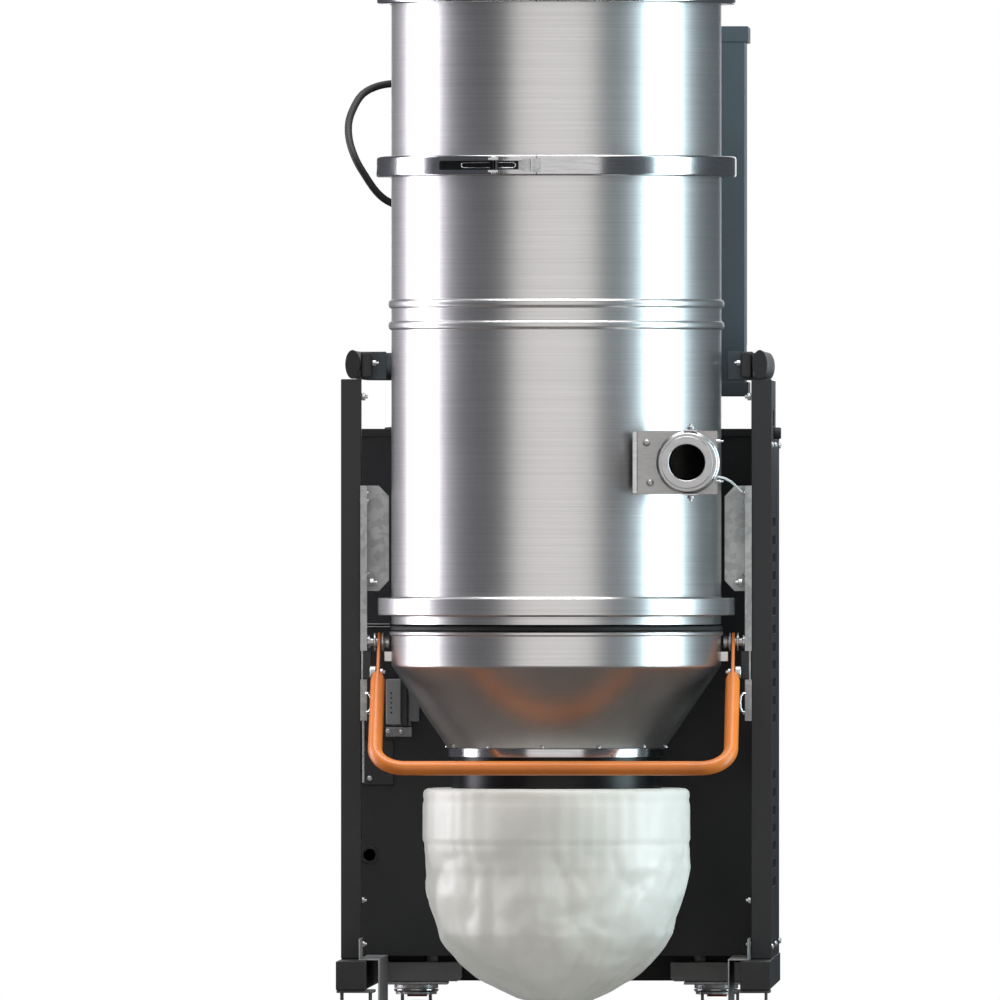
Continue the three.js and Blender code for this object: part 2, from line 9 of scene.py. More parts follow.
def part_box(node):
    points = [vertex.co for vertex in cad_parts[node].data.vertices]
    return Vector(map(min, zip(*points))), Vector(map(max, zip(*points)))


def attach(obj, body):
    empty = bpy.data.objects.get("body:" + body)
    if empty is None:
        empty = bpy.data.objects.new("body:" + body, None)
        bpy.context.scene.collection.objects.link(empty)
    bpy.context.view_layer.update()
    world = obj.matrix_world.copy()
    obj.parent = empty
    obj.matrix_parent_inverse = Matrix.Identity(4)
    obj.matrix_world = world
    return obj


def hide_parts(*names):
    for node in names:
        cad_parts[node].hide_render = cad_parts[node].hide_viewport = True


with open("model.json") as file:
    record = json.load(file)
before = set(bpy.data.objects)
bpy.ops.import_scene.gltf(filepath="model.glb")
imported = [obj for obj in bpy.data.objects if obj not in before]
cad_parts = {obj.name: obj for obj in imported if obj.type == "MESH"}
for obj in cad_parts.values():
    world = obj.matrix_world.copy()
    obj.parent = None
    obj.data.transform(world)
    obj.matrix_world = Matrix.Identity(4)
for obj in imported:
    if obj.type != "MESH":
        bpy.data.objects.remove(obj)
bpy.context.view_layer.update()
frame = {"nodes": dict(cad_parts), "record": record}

mm = 0.001


def middle(node):
    low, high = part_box(node)
    return [(a + b) / 2 for a, b in zip(low, high)]


drumX, drumY = middle("drum")[:2]      # the drum's upright axis

# camera, floor and light
print("stage: camera, floor and lights")
cameraPlan = {"azimuth": 1.6, "distance": 40.0, "seenWidth": 1.394, "aimX": -0.0786, "aimZ": 0.807}


def makeCamera():
    data = bpy.data.cameras.new("camera")
    data.sensor_width = 36
    data.lens = 36 * cameraPlan["distance"] / cameraPlan["seenWidth"]
    data.clip_start = 1
    data.clip_end = 200
    camera = bpy.data.objects.new("camera", data)
    turn = math.radians(cameraPlan["azimuth"])
    aim = Vector((cameraPlan["aimX"], drumY, cameraPlan["aimZ"]))
    back = Vector((math.sin(turn), -math.cos(turn), 0))
    camera.location = aim + back * cameraPlan["distance"]
    camera.rotation_mode = "QUATERNION"
    camera.rotation_quaternion = (-back).to_track_quat("-Z", "Y")
    bpy.context.scene.collection.objects.link(camera)
    bpy.context.scene.camera = camera


lightPlan = {
    # name: (bearing from the front in degrees, distance, width, height, middle height, power, colour)
    "leftPanel": (-104, 3.2, 1.5, 5.6, 0.9, 150, (0.95, 0.93, 1.0)),
    "rightPanel": (80, 3.2, 1.5, 5.6, 0.9, 155, (0.74, 0.93, 1.0)),
    "frontPanel": (0, 4.6, 5.2, 5.6, 0.9, 78, (1.0, 0.975, 0.95)),
    "backPanel": (180, 3.6, 2.0, 2.6, 2.2, 22, (1.0, 1.0, 1.0)),
}


def makeLights():
    for name, (bearing, distance, width, height, middleZ, power, colour) in lightPlan.items():
        data = bpy.data.lights.new(name, "AREA")
        data.shape = "RECTANGLE"
        data.size = width
        data.size_y = height
        data.energy = power
        data.color = colour
        lamp = bpy.data.objects.new(name, data)
        turn = math.radians(bearing)
        outward = Vector((math.sin(turn), -math.cos(turn), 0))
        lamp.location = Vector((drumX, drumY, middleZ)) + outward * distance
        lamp.rotation_mode = "QUATERNION"
        lamp.rotation_quaternion = outward.to_track_quat("Z", "Y")
        bpy.context.scene.collection.objects.link(lamp)
    top = bpy.data.lights.new("topPanel", "AREA")
    top.size = 2.6
    top.energy = 150
    lamp = bpy.data.objects.new("topPanel", top)
    lamp.location = (0, -0.6, 3.6)
    bpy.context.scene.collection.objects.link(lamp)


def makeWorld():
    world = bpy.data.worlds.new("world")
    bpy.context.scene.world = world
    bpy.context.scene.view_settings.view_transform = "Standard"
    world.use_nodes = True
    nodes, links = world.node_tree.nodes, world.node_tree.links
    nodes.clear()
    seen = nodes.new("ShaderNodeBackground")
    seen.inputs["Color"].default_value = (1, 1, 1, 1)
    seen.inputs["Strength"].default_value = 1.0
    lit = nodes.new("ShaderNodeBackground")
    lit.inputs["Color"].default_value = (0.30, 0.32, 0.36, 1)
    lit.inputs["Strength"].default_value = 0.28
    path = nodes.new("ShaderNodeLightPath")
    mix = nodes.new("ShaderNodeMixShader")
    out = nodes.new("ShaderNodeOutputWorld")
    links.new(path.outputs["Is Camera Ray"], mix.inputs[0])
    links.new(lit.outputs[0], mix.inputs[1])
    links.new(seen.outputs[0], mix.inputs[2])
    links.new(mix.outputs[0], out.inputs[0])


def makeFloor():
    bm = bmesh.new()
    bmesh.ops.create_circle(bm, cap_ends=True, radius=1.7, segments=96)
    mesh = bpy.data.meshes.new("floor")
    bm.to_mesh(mesh)
    bm.free()
    floor = bpy.data.objects.new("floor", mesh)
    bpy.context.scene.collection.objects.link(floor)
    paint = bpy.data.materials.new("darkFloor")
    paint.use_nodes = True
    shader = paint.node_tree.nodes["Principled BSDF"]
    shader.inputs["Base Color"].default_value = (0.10, 0.085, 0.075, 1)
    shader.inputs["Roughness"].default_value = 0.9
    floor.data.materials.append(paint)


makeCamera()
makeLights()
makeWorld()
makeFloor()

# shared shader effects
print("stage: shader groups")


def newGroup(name, inputs, outputs):
    tree = bpy.data.node_groups.new(name, "ShaderNodeTree")
    for label, kind, value in inputs:
        socket = tree.interface.new_socket(name=label, in_out="INPUT", socket_type=kind)
        socket.default_value = value
    for label, kind in outputs:
        tree.interface.new_socket(name=label, in_out="OUTPUT", socket_type=kind)
    return tree, tree.nodes.new("NodeGroupInput"), tree.nodes.new("NodeGroupOutput")


def addNode(tree, kind, **values):
    node = tree.nodes.new(kind)
    for key, value in values.items():
        if hasattr(node, key):
            setattr(node, key, value)
        else:
            node.inputs[key].default_value = value
    return node


def grainGroup():
    # fine lines that run level round the metal: noise squeezed in height
    tree, source, result = newGroup(
        "levelGrain",
        [("Lines", "NodeSocketFloat", 700.0), ("Along", "NodeSocketFloat", 6.0)],
        [("Mask", "NodeSocketFloat"), ("Cloud", "NodeSocketFloat")])
    place = addNode(tree, "ShaderNodeTexCoord")
    stretch = addNode(tree, "ShaderNodeCombineXYZ")
    tree.links.new(source.outputs["Along"], stretch.inputs["X"])
    tree.links.new(source.outputs["Along"], stretch.inputs["Y"])
    tree.links.new(source.outputs["Lines"], stretch.inputs["Z"])
    scale = addNode(tree, "ShaderNodeVectorMath", operation="MULTIPLY")
    tree.links.new(place.outputs["Object"], scale.inputs[0])
    tree.links.new(stretch.outputs[0], scale.inputs[1])
    lines = addNode(tree, "ShaderNodeTexNoise", Scale=1.0, Detail=4.0, Roughness=0.65)
    tree.links.new(scale.outputs[0], lines.inputs["Vector"])
    cloud = addNode(tree, "ShaderNodeTexNoise", Scale=5.0, Detail=3.0, Roughness=0.55)
    tree.links.new(place.outputs["Object"], cloud.inputs["Vector"])
    tree.links.new(lines.outputs[0], result.inputs["Mask"])
    tree.links.new(cloud.outputs[0], result.inputs["Cloud"])
    return tree


def speckGroup():
    # small even speckle for powder coat and mouldings, with a broad soft cloud for handling marks
    tree, source, result = newGroup(
        "speckle", [("Size", "NodeSocketFloat", 900.0), ("CloudSize", "NodeSocketFloat", 9.0)],
        [("Speck", "NodeSocketFloat"), ("Cloud", "NodeSocketFloat")])
    place = addNode(tree, "ShaderNodeTexCoord")
    speck = addNode(tree, "ShaderNodeTexNoise", Detail=2.0, Roughness=0.5)
    cloud = addNode(tree, "ShaderNodeTexNoise", Detail=4.0, Roughness=0.6)
    tree.links.new(source.outputs["Size"], speck.inputs["Scale"])
    tree.links.new(source.outputs["CloudSize"], cloud.inputs["Scale"])
    for texture in (speck, cloud):
        tree.links.new(place.outputs["Object"], texture.inputs["Vector"])
    tree.links.new(speck.outputs[0], result.inputs["Speck"])
    tree.links.new(cloud.outputs[0], result.inputs["Cloud"])
    return tree


def rangeGroup():
    # maps a 0 to 1 mask onto a low and a high value
    tree, source, result = newGroup(
        "spread", [("Mask", "NodeSocketFloat", 0.5), ("Low", "NodeSocketFloat", 0.0),
                   ("High", "NodeSocketFloat", 1.0)],
        [("Value", "NodeSocketFloat")])
    spread = addNode(tree, "ShaderNodeMapRange")
    spread.inputs["From Min"].default_value = 0.3
    spread.inputs["From Max"].default_value = 0.7
    tree.links.new(source.outputs["Mask"], spread.inputs["Value"])
    tree.links.new(source.outputs["Low"], spread.inputs["To Min"])
    tree.links.new(source.outputs["High"], spread.inputs["To Max"])
    tree.links.new(spread.outputs[0], result.inputs["Value"])
    return tree


def spangleGroup():
    # zinc crystals: flat cells of slightly different grey with thin borders
    tree, source, result = newGroup(
        "spangle", [("Size", "NodeSocketFloat", 90.0)],
        [("Cell", "NodeSocketFloat"), ("Cloud", "NodeSocketFloat")])
    place = addNode(tree, "ShaderNodeTexCoord")
    warp = addNode(tree, "ShaderNodeTexNoise", Scale=35.0, Detail=2.0)
    shift = addNode(tree, "ShaderNodeVectorMath", operation="SCALE")
    shift.inputs["Scale"].default_value = 0.018
    add = addNode(tree, "ShaderNodeVectorMath", operation="ADD")
    cells = addNode(tree, "ShaderNodeTexVoronoi")
    grey = addNode(tree, "ShaderNodeSeparateColor")
    cloud = addNode(tree, "ShaderNodeTexNoise", Scale=14.0, Detail=5.0, Roughness=0.65)
    links = tree.links
    links.new(place.outputs["Object"], warp.inputs["Vector"])
    links.new(warp.outputs[1], shift.inputs[0])
    links.new(place.outputs["Object"], add.inputs[0])
    links.new(shift.outputs[0], add.inputs[1])
    links.new(add.outputs[0], cells.inputs["Vector"])
    links.new(source.outputs["Size"], cells.inputs["Scale"])
    links.new(cells.outputs["Color"], grey.inputs[0])
    links.new(place.outputs["Object"], cloud.inputs["Vector"])
    links.new(grey.outputs[0], result.inputs["Cell"])
    links.new(cloud.outputs[0], result.inputs["Cloud"])
    return tree


levelGrain = grainGroup()
speckle = speckGroup()
spread = rangeGroup()
spangle = spangleGroup()

# materials
print("stage: materials")


class Finish:
    # one material being wired up: its tree, its shader and short ways to add to them
    def __init__(self, name, colour, roughness, metallic=0.0):
        self.material = bpy.data.materials.new(name)
        self.material.use_nodes = True
        self.tree = self.material.node_tree
        self.shader = self.tree.nodes["Principled BSDF"]
        self.shader.inputs["Base Color"].default_value = (*colour, 1)
        self.shader.inputs["Roughness"].default_value = roughness
        self.shader.inputs["Metallic"].default_value = metallic
        self.colour = colour

    def group(self, tree, **values):
        node = self.tree.nodes.new("ShaderNodeGroup")
        node.node_tree = tree
        for key, value in values.items():
            node.inputs[key].default_value = value
        return node

    def tint(self, mask, dark, light):
        mix = self.tree.nodes.new("ShaderNodeMix")
        mix.data_type = "RGBA"
        mix.inputs[6].default_value = (*[c * dark for c in self.colour], 1)
        mix.inputs[7].default_value = (*[min(1, c * light) for c in self.colour], 1)
        lift = self.group(spread, Low=0.0, High=1.0)
        self.tree.links.new(mask, lift.inputs["Mask"])
        self.tree.links.new(lift.outputs[0], mix.inputs[0])
        self.tree.links.new(mix.outputs[2], self.shader.inputs["Base Color"])

    def rough(self, mask, low, high):
        lift = self.group(spread, Low=low, High=high)
        self.tree.links.new(mask, lift.inputs["Mask"])
        self.tree.links.new(lift.outputs[0], self.shader.inputs["Roughness"])

    def bump(self, mask, depth):
        bump = self.tree.nodes.new("ShaderNodeBump")
        bump.inputs["Strength"].default_value = 1.0
        bump.inputs["Distance"].default_value = depth
        self.tree.links.new(mask, bump.inputs["Height"])
        self.tree.links.new(bump.outputs[0], self.shader.inputs["Normal"])


def steelFinish(name, colour, low, high, along, lines, depth):
    finish = Finish(name, colour, low, 1.0)
    grain = finish.group(levelGrain, Lines=lines, Along=along)
    finish.tint(grain.outputs["Mask"], 0.88, 1.06)
    finish.rough(grain.outputs["Cloud"], low, high)
    finish.bump(grain.outputs["Mask"], depth)
    return finish.material


def coatFinish(name, colour, low, high, depth, speckSize=900.0, metallic=0.0):
    finish = Finish(name, colour, low, metallic)
    marks = finish.group(speckle, Size=speckSize, CloudSize=8.0)
    finish.tint(marks.outputs["Cloud"], 0.88, 1.14)
    finish.rough(marks.outputs["Cloud"], low, high)
    finish.bump(marks.outputs["Speck"], depth)
    return finish.material


def zincFinish(name, colour, size):
    finish = Finish(name, colour, 0.4, 0.85)
    crystals = finish.group(spangle, Size=size)
    finish.tint(crystals.outputs["Cell"], 0.88, 1.08)
    finish.rough(crystals.outputs["Cloud"], 0.3, 0.55)
    finish.bump(crystals.outputs["Cloud"], 0.00006)
    return finish.material


brushedSteel = steelFinish("brushedSteel", (0.70, 0.69, 0.685), 0.315, 0.335, 3.5, 620.0, 0.000014)
blastedSteel = coatFinish("blastedSteel", (0.50, 0.485, 0.475), 0.3, 0.36, 0.00004, 700.0, 1.0)
# painted shade: a darker copy of the brushed steel for the inlet plate, standing in for its dimmer reflection
shadedInletSteel = steelFinish("shadedInletSteel", (0.42, 0.415, 0.41), 0.3, 0.4, 60.0, 500.0, 0.00001)
ringSteel = steelFinish("ringSteel", (0.50, 0.50, 0.505), 0.28, 0.34, 30.0, 300.0, 0.000002)
polishedSteel = steelFinish("polishedSteel", (0.60, 0.60, 0.61), 0.13, 0.2, 30.0, 300.0, 0.000002)
darkCoat = coatFinish("darkPowderCoat", (0.014, 0.0145, 0.016), 0.38, 0.5, 0.00003)
cabinetCoat = coatFinish("cabinetCoat", (0.0075, 0.009, 0.011), 0.42, 0.55, 0.00003)
cupboardCoat = coatFinish("cupboardCoat", (0.045, 0.062, 0.075), 0.4, 0.5, 0.00002)
greyCoat = coatFinish("greyCoat", (0.235, 0.235, 0.236), 0.45, 0.6, 0.00002)
# painted light: the castor mounts' grey paint is made far paler than greyCoat to brighten them where they sit
# in shade
litMountCoat = coatFinish("litMountCoat", (0.62, 0.62, 0.625), 0.4, 0.5, 0.00002)
orangeCoat = coatFinish("orangeCoat", (0.72, 0.20, 0.028), 0.34, 0.42, 0.00002)
galvanised = zincFinish("galvanisedSheet", (0.40, 0.41, 0.41), 120.0)
zincPlate = zincFinish("zincPlate", (0.62, 0.62, 0.63), 500.0)
blackGloss = coatFinish("blackGloss", (0.008, 0.008, 0.009), 0.26, 0.32, 0.00001)
blackSleeve = coatFinish("blackSleeve", (0.0035, 0.004, 0.0045), 0.3, 0.36, 0.00001)
blackSleeve.node_tree.nodes["Principled BSDF"].inputs["Specular IOR Level"].default_value = 0.28
blackRubber = coatFinish("blackRubber", (0.012, 0.012, 0.012), 0.55, 0.7, 0.00004, 500.0)
tyreRubber = coatFinish("tyreRubber", (0.035, 0.035, 0.037), 0.7, 0.85, 0.00006, 300.0)
redMould = coatFinish("redMould", (0.42, 0.018, 0.014), 0.28, 0.38, 0.00001)
greenMould = coatFinish("greenMould", (0.03, 0.24, 0.07), 0.28, 0.38, 0.00001)
yellowMould = coatFinish("yellowMould", (0.75, 0.52, 0.03), 0.3, 0.4, 0.00001)
paleMould = coatFinish("paleMould", (0.30, 0.305, 0.31), 0.4, 0.5, 0.00002)
greyMould = coatFinish("greyMould", (0.16, 0.165, 0.17), 0.4, 0.5, 0.00002)
paleTube = coatFinish("paleTube", (0.62, 0.63, 0.62), 0.3, 0.4, 0.00001)
pleatCloth = coatFinish("pleatCloth", (0.62, 0.60, 0.54), 0.85, 0.95, 0.00015, 1800.0)


def filmFinish():
    finish = Finish("bagFilm", (0.90, 0.90, 0.83), 0.4)
    marks = finish.group(speckle, Size=60.0, CloudSize=7.0)
    finish.tint(marks.outputs["Cloud"], 0.86, 1.1)
    finish.rough(marks.outputs["Speck"], 0.32, 0.55)
    finish.bump(marks.outputs["Speck"], 0.0003)
    # painted glow: a faint even emission brightens the film as if light came through it
    finish.shader.inputs["Emission Color"].default_value = (0.95, 0.96, 0.90, 1)
    finish.shader.inputs["Emission Strength"].default_value = 0.14
    finish.shader.inputs["Subsurface Weight"].default_value = 0.35
    finish.shader.inputs["Subsurface Radius"].default_value = (0.03, 0.03, 0.028)
    finish.shader.inputs["Subsurface Scale"].default_value = 0.6
    return finish.material


bagFilm = filmFinish()

nodeBody = {node: body for body, members in frame["record"]["behaviour"]["bodies"].items()
            for node in members}

# ways to make a piece
print("stage: piece helpers")


def finishPiece(bm, name, material, body, stands=(), sharp=32):
    # hands a bmesh over as a finished object: outward faces, smooth shading with crisp edges, riding on its
    # body
    bmesh.ops.recalc_face_normals(bm, faces=bm.faces[:])
    for face in bm.faces:
        face.smooth = True
    limit = math.radians(sharp)
    for edge in bm.edges:
        edge.smooth = len(edge.link_faces) == 2 and edge.calc_face_angle(0) < limit
    mesh = bpy.data.meshes.new(name)
    bm.to_mesh(mesh)
    bm.free()
    mesh.materials.append(material)
    piece = bpy.data.objects.new(name, mesh)
    bpy.context.scene.collection.objects.link(piece)
    even = piece.modifiers.new("evenShade", "WEIGHTED_NORMAL")
    even.keep_sharp = True
    if stands:
        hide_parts(*stands)
    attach(piece, body)
    return piece


def turnedMesh(bm, profile, place, axis="Z", sides=128, closed=True):
    # spins an outline of (radius, height) pairs about an upright, sideways or depth-wise axis through a place
    points = [bm.verts.new((r, 0, h)) for r, h in profile]
    pairs = list(zip(points, points[1:]))
    if closed and profile[0][0] > 0 and profile[-1][0] > 0:
        pairs.append((points[-1], points[0]))
    edges = [bm.edges.new(pair) for pair in pairs]
    made = bmesh.ops.spin(bm, geom=points + edges, cent=(0, 0, 0), axis=(0, 0, 1), angle=2 * math.pi,
                          steps=sides, use_merge=True)
    new = {v for v in made["geom_last"] if isinstance(v, bmesh.types.BMVert)} | set(points)
    reach = set(new)
    stack = list(new)
    while stack:
        vert = stack.pop()
        for edge in vert.link_edges:
            other = edge.other_vert(vert)
            if other not in reach:
                reach.add(other)
                stack.append(other)
    verts = list(reach)
    turn = {"Z": Matrix.Identity(4), "X": Matrix.Rotation(math.pi / 2, 4, "Y"),
            "Y": Matrix.Rotation(-math.pi / 2, 4, "X")}[axis]
    bmesh.ops.transform(bm, matrix=Matrix.Translation(place) @ turn, verts=verts)
    kept = bmesh.ops.remove_doubles(bm, verts=verts, dist=1e-6)
    return kept


def turnedPiece(name, profile, place, material, body, axis="Z", sides=128, stands=(), sharp=32,
                add=None):
    bm = bmesh.new()
    turnedMesh(bm, profile, place, axis, sides)
    if add:
        add(bm)
    return finishPiece(bm, name, material, body, stands, sharp)


def boxMesh(bm, low, high, bevel=0.0006, segments=2):
    made = bmesh.ops.create_cube(bm, size=1)
    size = [b - a for a, b in zip(low, high)]
    bmesh.ops.scale(bm, vec=size, verts=made["verts"])
    bmesh.ops.translate(bm, vec=[(a + b) / 2 for a, b in zip(low, high)], verts=made["verts"])
    if bevel:
        edges = list({edge for vert in made["verts"] for edge in vert.link_edges})
        bmesh.ops.bevel(bm, geom=edges, offset=bevel, segments=segments, profile=0.5, affect="EDGES",
                        material=-1)


def boxPiece(name, low, high, material, body="frame", bevel=0.0006):
    bm = bmesh.new()
    boxMesh(bm, low, high, bevel)
    return finishPiece(bm, name, material, body)


def arc(cx, cy, radius, start, stop, steps):
    # points of a round corner in an outline, angles in degrees
    angles = [math.radians(start + (stop - start) * k / steps) for k in range(steps + 1)]
    return [(cx + radius * math.cos(a), cy + radius * math.sin(a)) for a in angles]


def softCopy(node, material, bevel=0.0008, segments=2, sharp=35, name=None):
    # a copy of a solid with its faces joined up and its sharp edges eased
    source = frame["nodes"][node]
    bm = bmesh.new()
    bm.from_mesh(source.data)
    bmesh.ops.transform(bm, matrix=source.matrix_world, verts=bm.verts[:])
    bmesh.ops.remove_doubles(bm, verts=bm.verts[:], dist=1e-5)
    bmesh.ops.dissolve_limit(bm, angle_limit=math.radians(1.5), verts=bm.verts[:], edges=bm.edges[:])
    edges = [edge for edge in bm.edges
             if len(edge.link_faces) == 2 and edge.calc_face_angle(0) > math.radians(sharp)]
    if bevel:
        bmesh.ops.bevel(bm, geom=edges, offset=bevel, segments=segments, profile=0.5, affect="EDGES",
                        material=-1,
                        clamp_overlap=True)
    return finishPiece(bm, name or node + "_skin", material, nodeBody[node], (node,))


def tubePiece(name, points, radius, material, body, stands=(), oval=1.0):
    # a round or oval bar along points that already hold their bends
    bm = bmesh.new()
    sides = 24
    rings = []
    count = len(points)
    vectors = [Vector(p) for p in points]
    up = Vector((0, 0, 1))
    for k, here in enumerate(vectors):
        ahead = vectors[min(k + 1, count - 1)] - vectors[max(k - 1, 0)]
        ahead.normalize()
        if k == 0:
            across = ahead.cross(up)
            if across.length < 0.1:
                across = ahead.cross(Vector((0, 1, 0)))
            across.normalize()
        else:
            across = (across - ahead * across.dot(ahead)).normalized()
        rise = across.cross(ahead)
        ring = bmesh.ops.create_circle(bm, radius=radius, segments=sides)["verts"]
        for vert in ring:
            spot = vert.co.copy()
            vert.co = here + across * spot.x + rise * spot.y * oval
        rings.append(ring)
    for first, second in zip(rings, rings[1:]):
        edges = [bm.edges.get((first[i], first[(i + 1) % sides])) for i in range(sides)]
        edges += [bm.edges.get((second[i], second[(i + 1) % sides])) for i in range(sides)]
        bmesh.ops.bridge_loops(bm, edges=edges)
    for ring in (rings[0], rings[-1]):
        bm.faces.new(ring)
    return finishPiece(bm, name, material, body, stands)


def bentPath(corners, radius, steps=10):
    # straight runs joined by true round bends
    points = [Vector(corners[0])]
    for before, corner, after in zip(corners, corners[1:], corners[2:]):
        corner = Vector(corner)
        inward = (Vector(before) - corner).normalized()
        outward = (Vector(after) - corner).normalized()
        half = inward.angle(outward) / 2
        setBack = radius / math.tan(half)
        centre = corner + (inward + outward).normalized() * (radius / math.sin(half))
        first = (corner + inward * setBack - centre).normalized()
        last = (corner + outward * setBack - centre).normalized()
        for k in range(steps + 1):
            points.append(centre + first.slerp(last, k / steps).normalized() * radius)
    points.append(Vector(corners[-1]))
    return points


def screwHead(bm, place, axis, radius, height, hexagon=True):
    # a domed button screw, or a hex nut with its stud
    turn = {"-Y": Matrix.Rotation(math.pi / 2, 4, "X"), "+Y": Matrix.Rotation(-math.pi / 2, 4, "X"),
            "+X": Matrix.Rotation(math.pi / 2, 4, "Y"), "-X": Matrix.Rotation(-math.pi / 2, 4, "Y"),
            "+Z": Matrix.Identity(4), "-Z": Matrix.Rotation(math.pi, 4, "X")}[axis]
    move = Matrix.Translation(place) @ turn
    if hexagon:
        nut = bmesh.ops.create_cone(bm, cap_ends=True, segments=6, radius1=radius, radius2=radius,
                                    depth=height,
                                    matrix=move @ Matrix.Translation((0, 0, height / 2)))
        edges = list({edge for vert in nut["verts"] for edge in vert.link_edges})
        bmesh.ops.bevel(bm, geom=edges, offset=radius * 0.1, segments=1, profile=0.5, affect="EDGES",
                        material=-1)
        bmesh.ops.create_cone(bm, cap_ends=True, segments=16, radius1=radius * 0.5, radius2=radius * 0.42,
                              depth=height * 1.7, matrix=move @ Matrix.Translation((0, 0, height * 0.86)))
        return
    outline = [(0, 0), (radius, 0), (radius, height * 0.35), (radius * 0.86, height * 0.72),
               (radius * 0.5, height),
               (radius * 0.42, height), (radius * 0.42, height * 0.45), (0, height * 0.45)]
    start = set(bm.verts)
    turnedMesh(bm, outline, (0, 0, 0), sides=16)
    bmesh.ops.transform(bm, matrix=move, verts=[vert for vert in bm.verts if vert not in start])


def fastenerPiece(name, spots, material=None, body="frame"):
    # spots: (place, axis, radius, height, hexagon)
    bm = bmesh.new()
    for spot in spots:
        screwHead(bm, *spot)
    return finishPiece(bm, name, material or zincPlate, body)

# drum, filter chamber and lid
print("stage: drum, chamber and lid")
shell = {"radius": 0.230, "wall": 0.003, "ring": 0.251, "ringHeight": 0.029, "bead": 0.0042, "lip": 0.012,
         "sides": 160}
midRingZ = middle("clamp_ring_mid")[2]
topRingZ = middle("clamp_ring_top")[2]
drumLow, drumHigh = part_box("drum")
chamberLow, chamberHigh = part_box("filter_chamber")
lidLow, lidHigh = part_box("lid")
hopperLow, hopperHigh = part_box("hopper")


def rimUnder(radius, z):
    # rolled flange that a clamp ring grips from below, drawn upwards
    return [(radius, z - 0.011), (radius + 0.0015, z - 0.0075), (radius + shell["lip"], z - 0.003),
            (radius + shell["lip"], z)]


def rimOver(radius, z):
    return [(r, 2 * z - h) for r, h in reversed(rimUnder(radius, z))]


def drumOutline():
    radius, inner = shell["radius"], shell["radius"] - shell["wall"]
    foot = drumLow[2]
    flangeLow, flangeHigh = foot + 0.0125, foot + 0.0365
    points = [(inner, foot), (radius, foot), (radius, flangeLow - 0.0015), (radius + 0.0015, flangeLow)]
    points += [(0.2475, flangeLow)] + arc(0.2475, flangeLow + 0.0015, 0.0015, -90, 0, 3)[1:]
    points += arc(0.2475, flangeHigh - 0.0015, 0.0015, 0, 90, 3) + [(radius + 0.002, flangeHigh)]
    points += [(radius, flangeHigh + 0.002)]
    for beadZ in (1.050, 1.080):
        points += [(radius, beadZ - 0.0075), (radius + 0.0006, beadZ - 0.006)]
        points += [(radius + shell["bead"] * math.sin(math.radians(a)),
                    beadZ - 0.0062 * math.cos(math.radians(a)))
                   for a in range(20, 161, 20)]
        points += [(radius + 0.0006, beadZ + 0.006), (radius, beadZ + 0.0075)]
    return points + rimUnder(radius, drumHigh[2]) + [(inner, drumHigh[2])]


def makeDrum():
    bm = bmesh.new()
    turnedMesh(bm, drumOutline(), (drumX, drumY, 0), sides=shell["sides"])
    # the rolled body's weld seam runs down the back
    boxMesh(bm, (drumX - 0.002, drumY + 0.2285, drumLow[2] + 0.04), (drumX + 0.002, drumY + 0.2307, 1.04),
            0.0004)
    return finishPiece(bm, "drumSkin", brushedSteel, "frame", ("drum",))


def makeChamber():
    radius, inner = shell["radius"], shell["radius"] - shell["wall"]
    outline = [(inner, chamberLow[2])] + rimOver(radius, chamberLow[2]) + rimUnder(radius, chamberHigh[2])
    bm = bmesh.new()
    turnedMesh(bm, outline + [(inner, chamberHigh[2])], (drumX, drumY, 0), sides=shell["sides"])
    boxMesh(bm, (drumX - 0.002, drumY + 0.2285, chamberLow[2] + 0.012),
            (drumX + 0.002, drumY + 0.2307, chamberHigh[2] - 0.012), 0.0004)
    return finishPiece(bm, "chamberSkin", brushedSteel, "frame", ("filter_chamber",))


def makeLid():
    radius, inner = shell["radius"], shell["radius"] - shell["wall"]
    foot, top = lidLow[2], lidHigh[2]
    shoulder = top - 0.034
    outline = [(inner, foot)] + rimOver(radius, foot) + [(radius, shoulder)]
    outline += arc(radius - 0.016, shoulder, 0.016, 10, 75, 6)
    outline += [(0.165, top - 0.009), (0.11, top - 0.003), (0.06, top - 0.0006), (0, top)]
    outline += [(0, top - 0.003), (0.11, top - 0.006), (0.165, top - 0.012), (inner - 0.013, shoulder + 0.01),
                (inner, shoulder - 0.004)]
    bm = bmesh.new()
    turnedMesh(bm, outline, (drumX, drumY, 0), sides=shell["sides"])
    skin = finishPiece(bm, "lidSkin", brushedSteel, "frame", ("lid",))
    collar = [(0.034, 0.0), (0.038, 0.0), (0.038, 0.052), (0.0392, 0.054), (0.0392, 0.058), (0.038, 0.060),
              (0.038, 0.0675), (0.034, 0.0675)]
    outletX, outletZ = -0.130, foot + 0.055
    turnedPiece("lidCollar", collar, (outletX, lidHigh[1] - 0.068, outletZ), brushedSteel, "frame", "Y", 64)
    weld = [(0.038, 0.0), (0.045, 0.0), (0.0452, 0.002), (0.038, 0.004)]
    turnedPiece("lidCollarWeld", weld, (outletX, drumY + 0.188, outletZ), brushedSteel, "frame", "Y", 64)
    return skin


makeDrum()
makeChamber()
makeLid()

# clamp rings and their latches
print("stage: clamp rings and latches")
latch = {"pivotX": -0.081, "reach": 0.2605, "leverStart": 0.30, "leverEnd": 0.69}


def ringOutline(z):
    half = shell["ringHeight"] / 2
    lip, outer = shell["radius"] + shell["lip"] + 0.0004, shell["ring"]
    foot = shell["radius"] + 0.0024
    return ([(foot, z - half)] + arc(outer - 0.0035, z - half + 0.0035, 0.0035, -90, 0, 4)
            + arc(outer - 0.0035, z + half - 0.0035, 0.0035, 0, 90, 4)
            + [(foot, z + half), (foot, z + half - 0.0016), (lip, z + half - 0.0042),
               (lip, z - half + 0.0042),
               (foot, z - half + 0.0016)])


def onRing(angle, radius, z):
    return Vector((drumX + radius * math.sin(angle), drumY - radius * math.cos(angle), z))


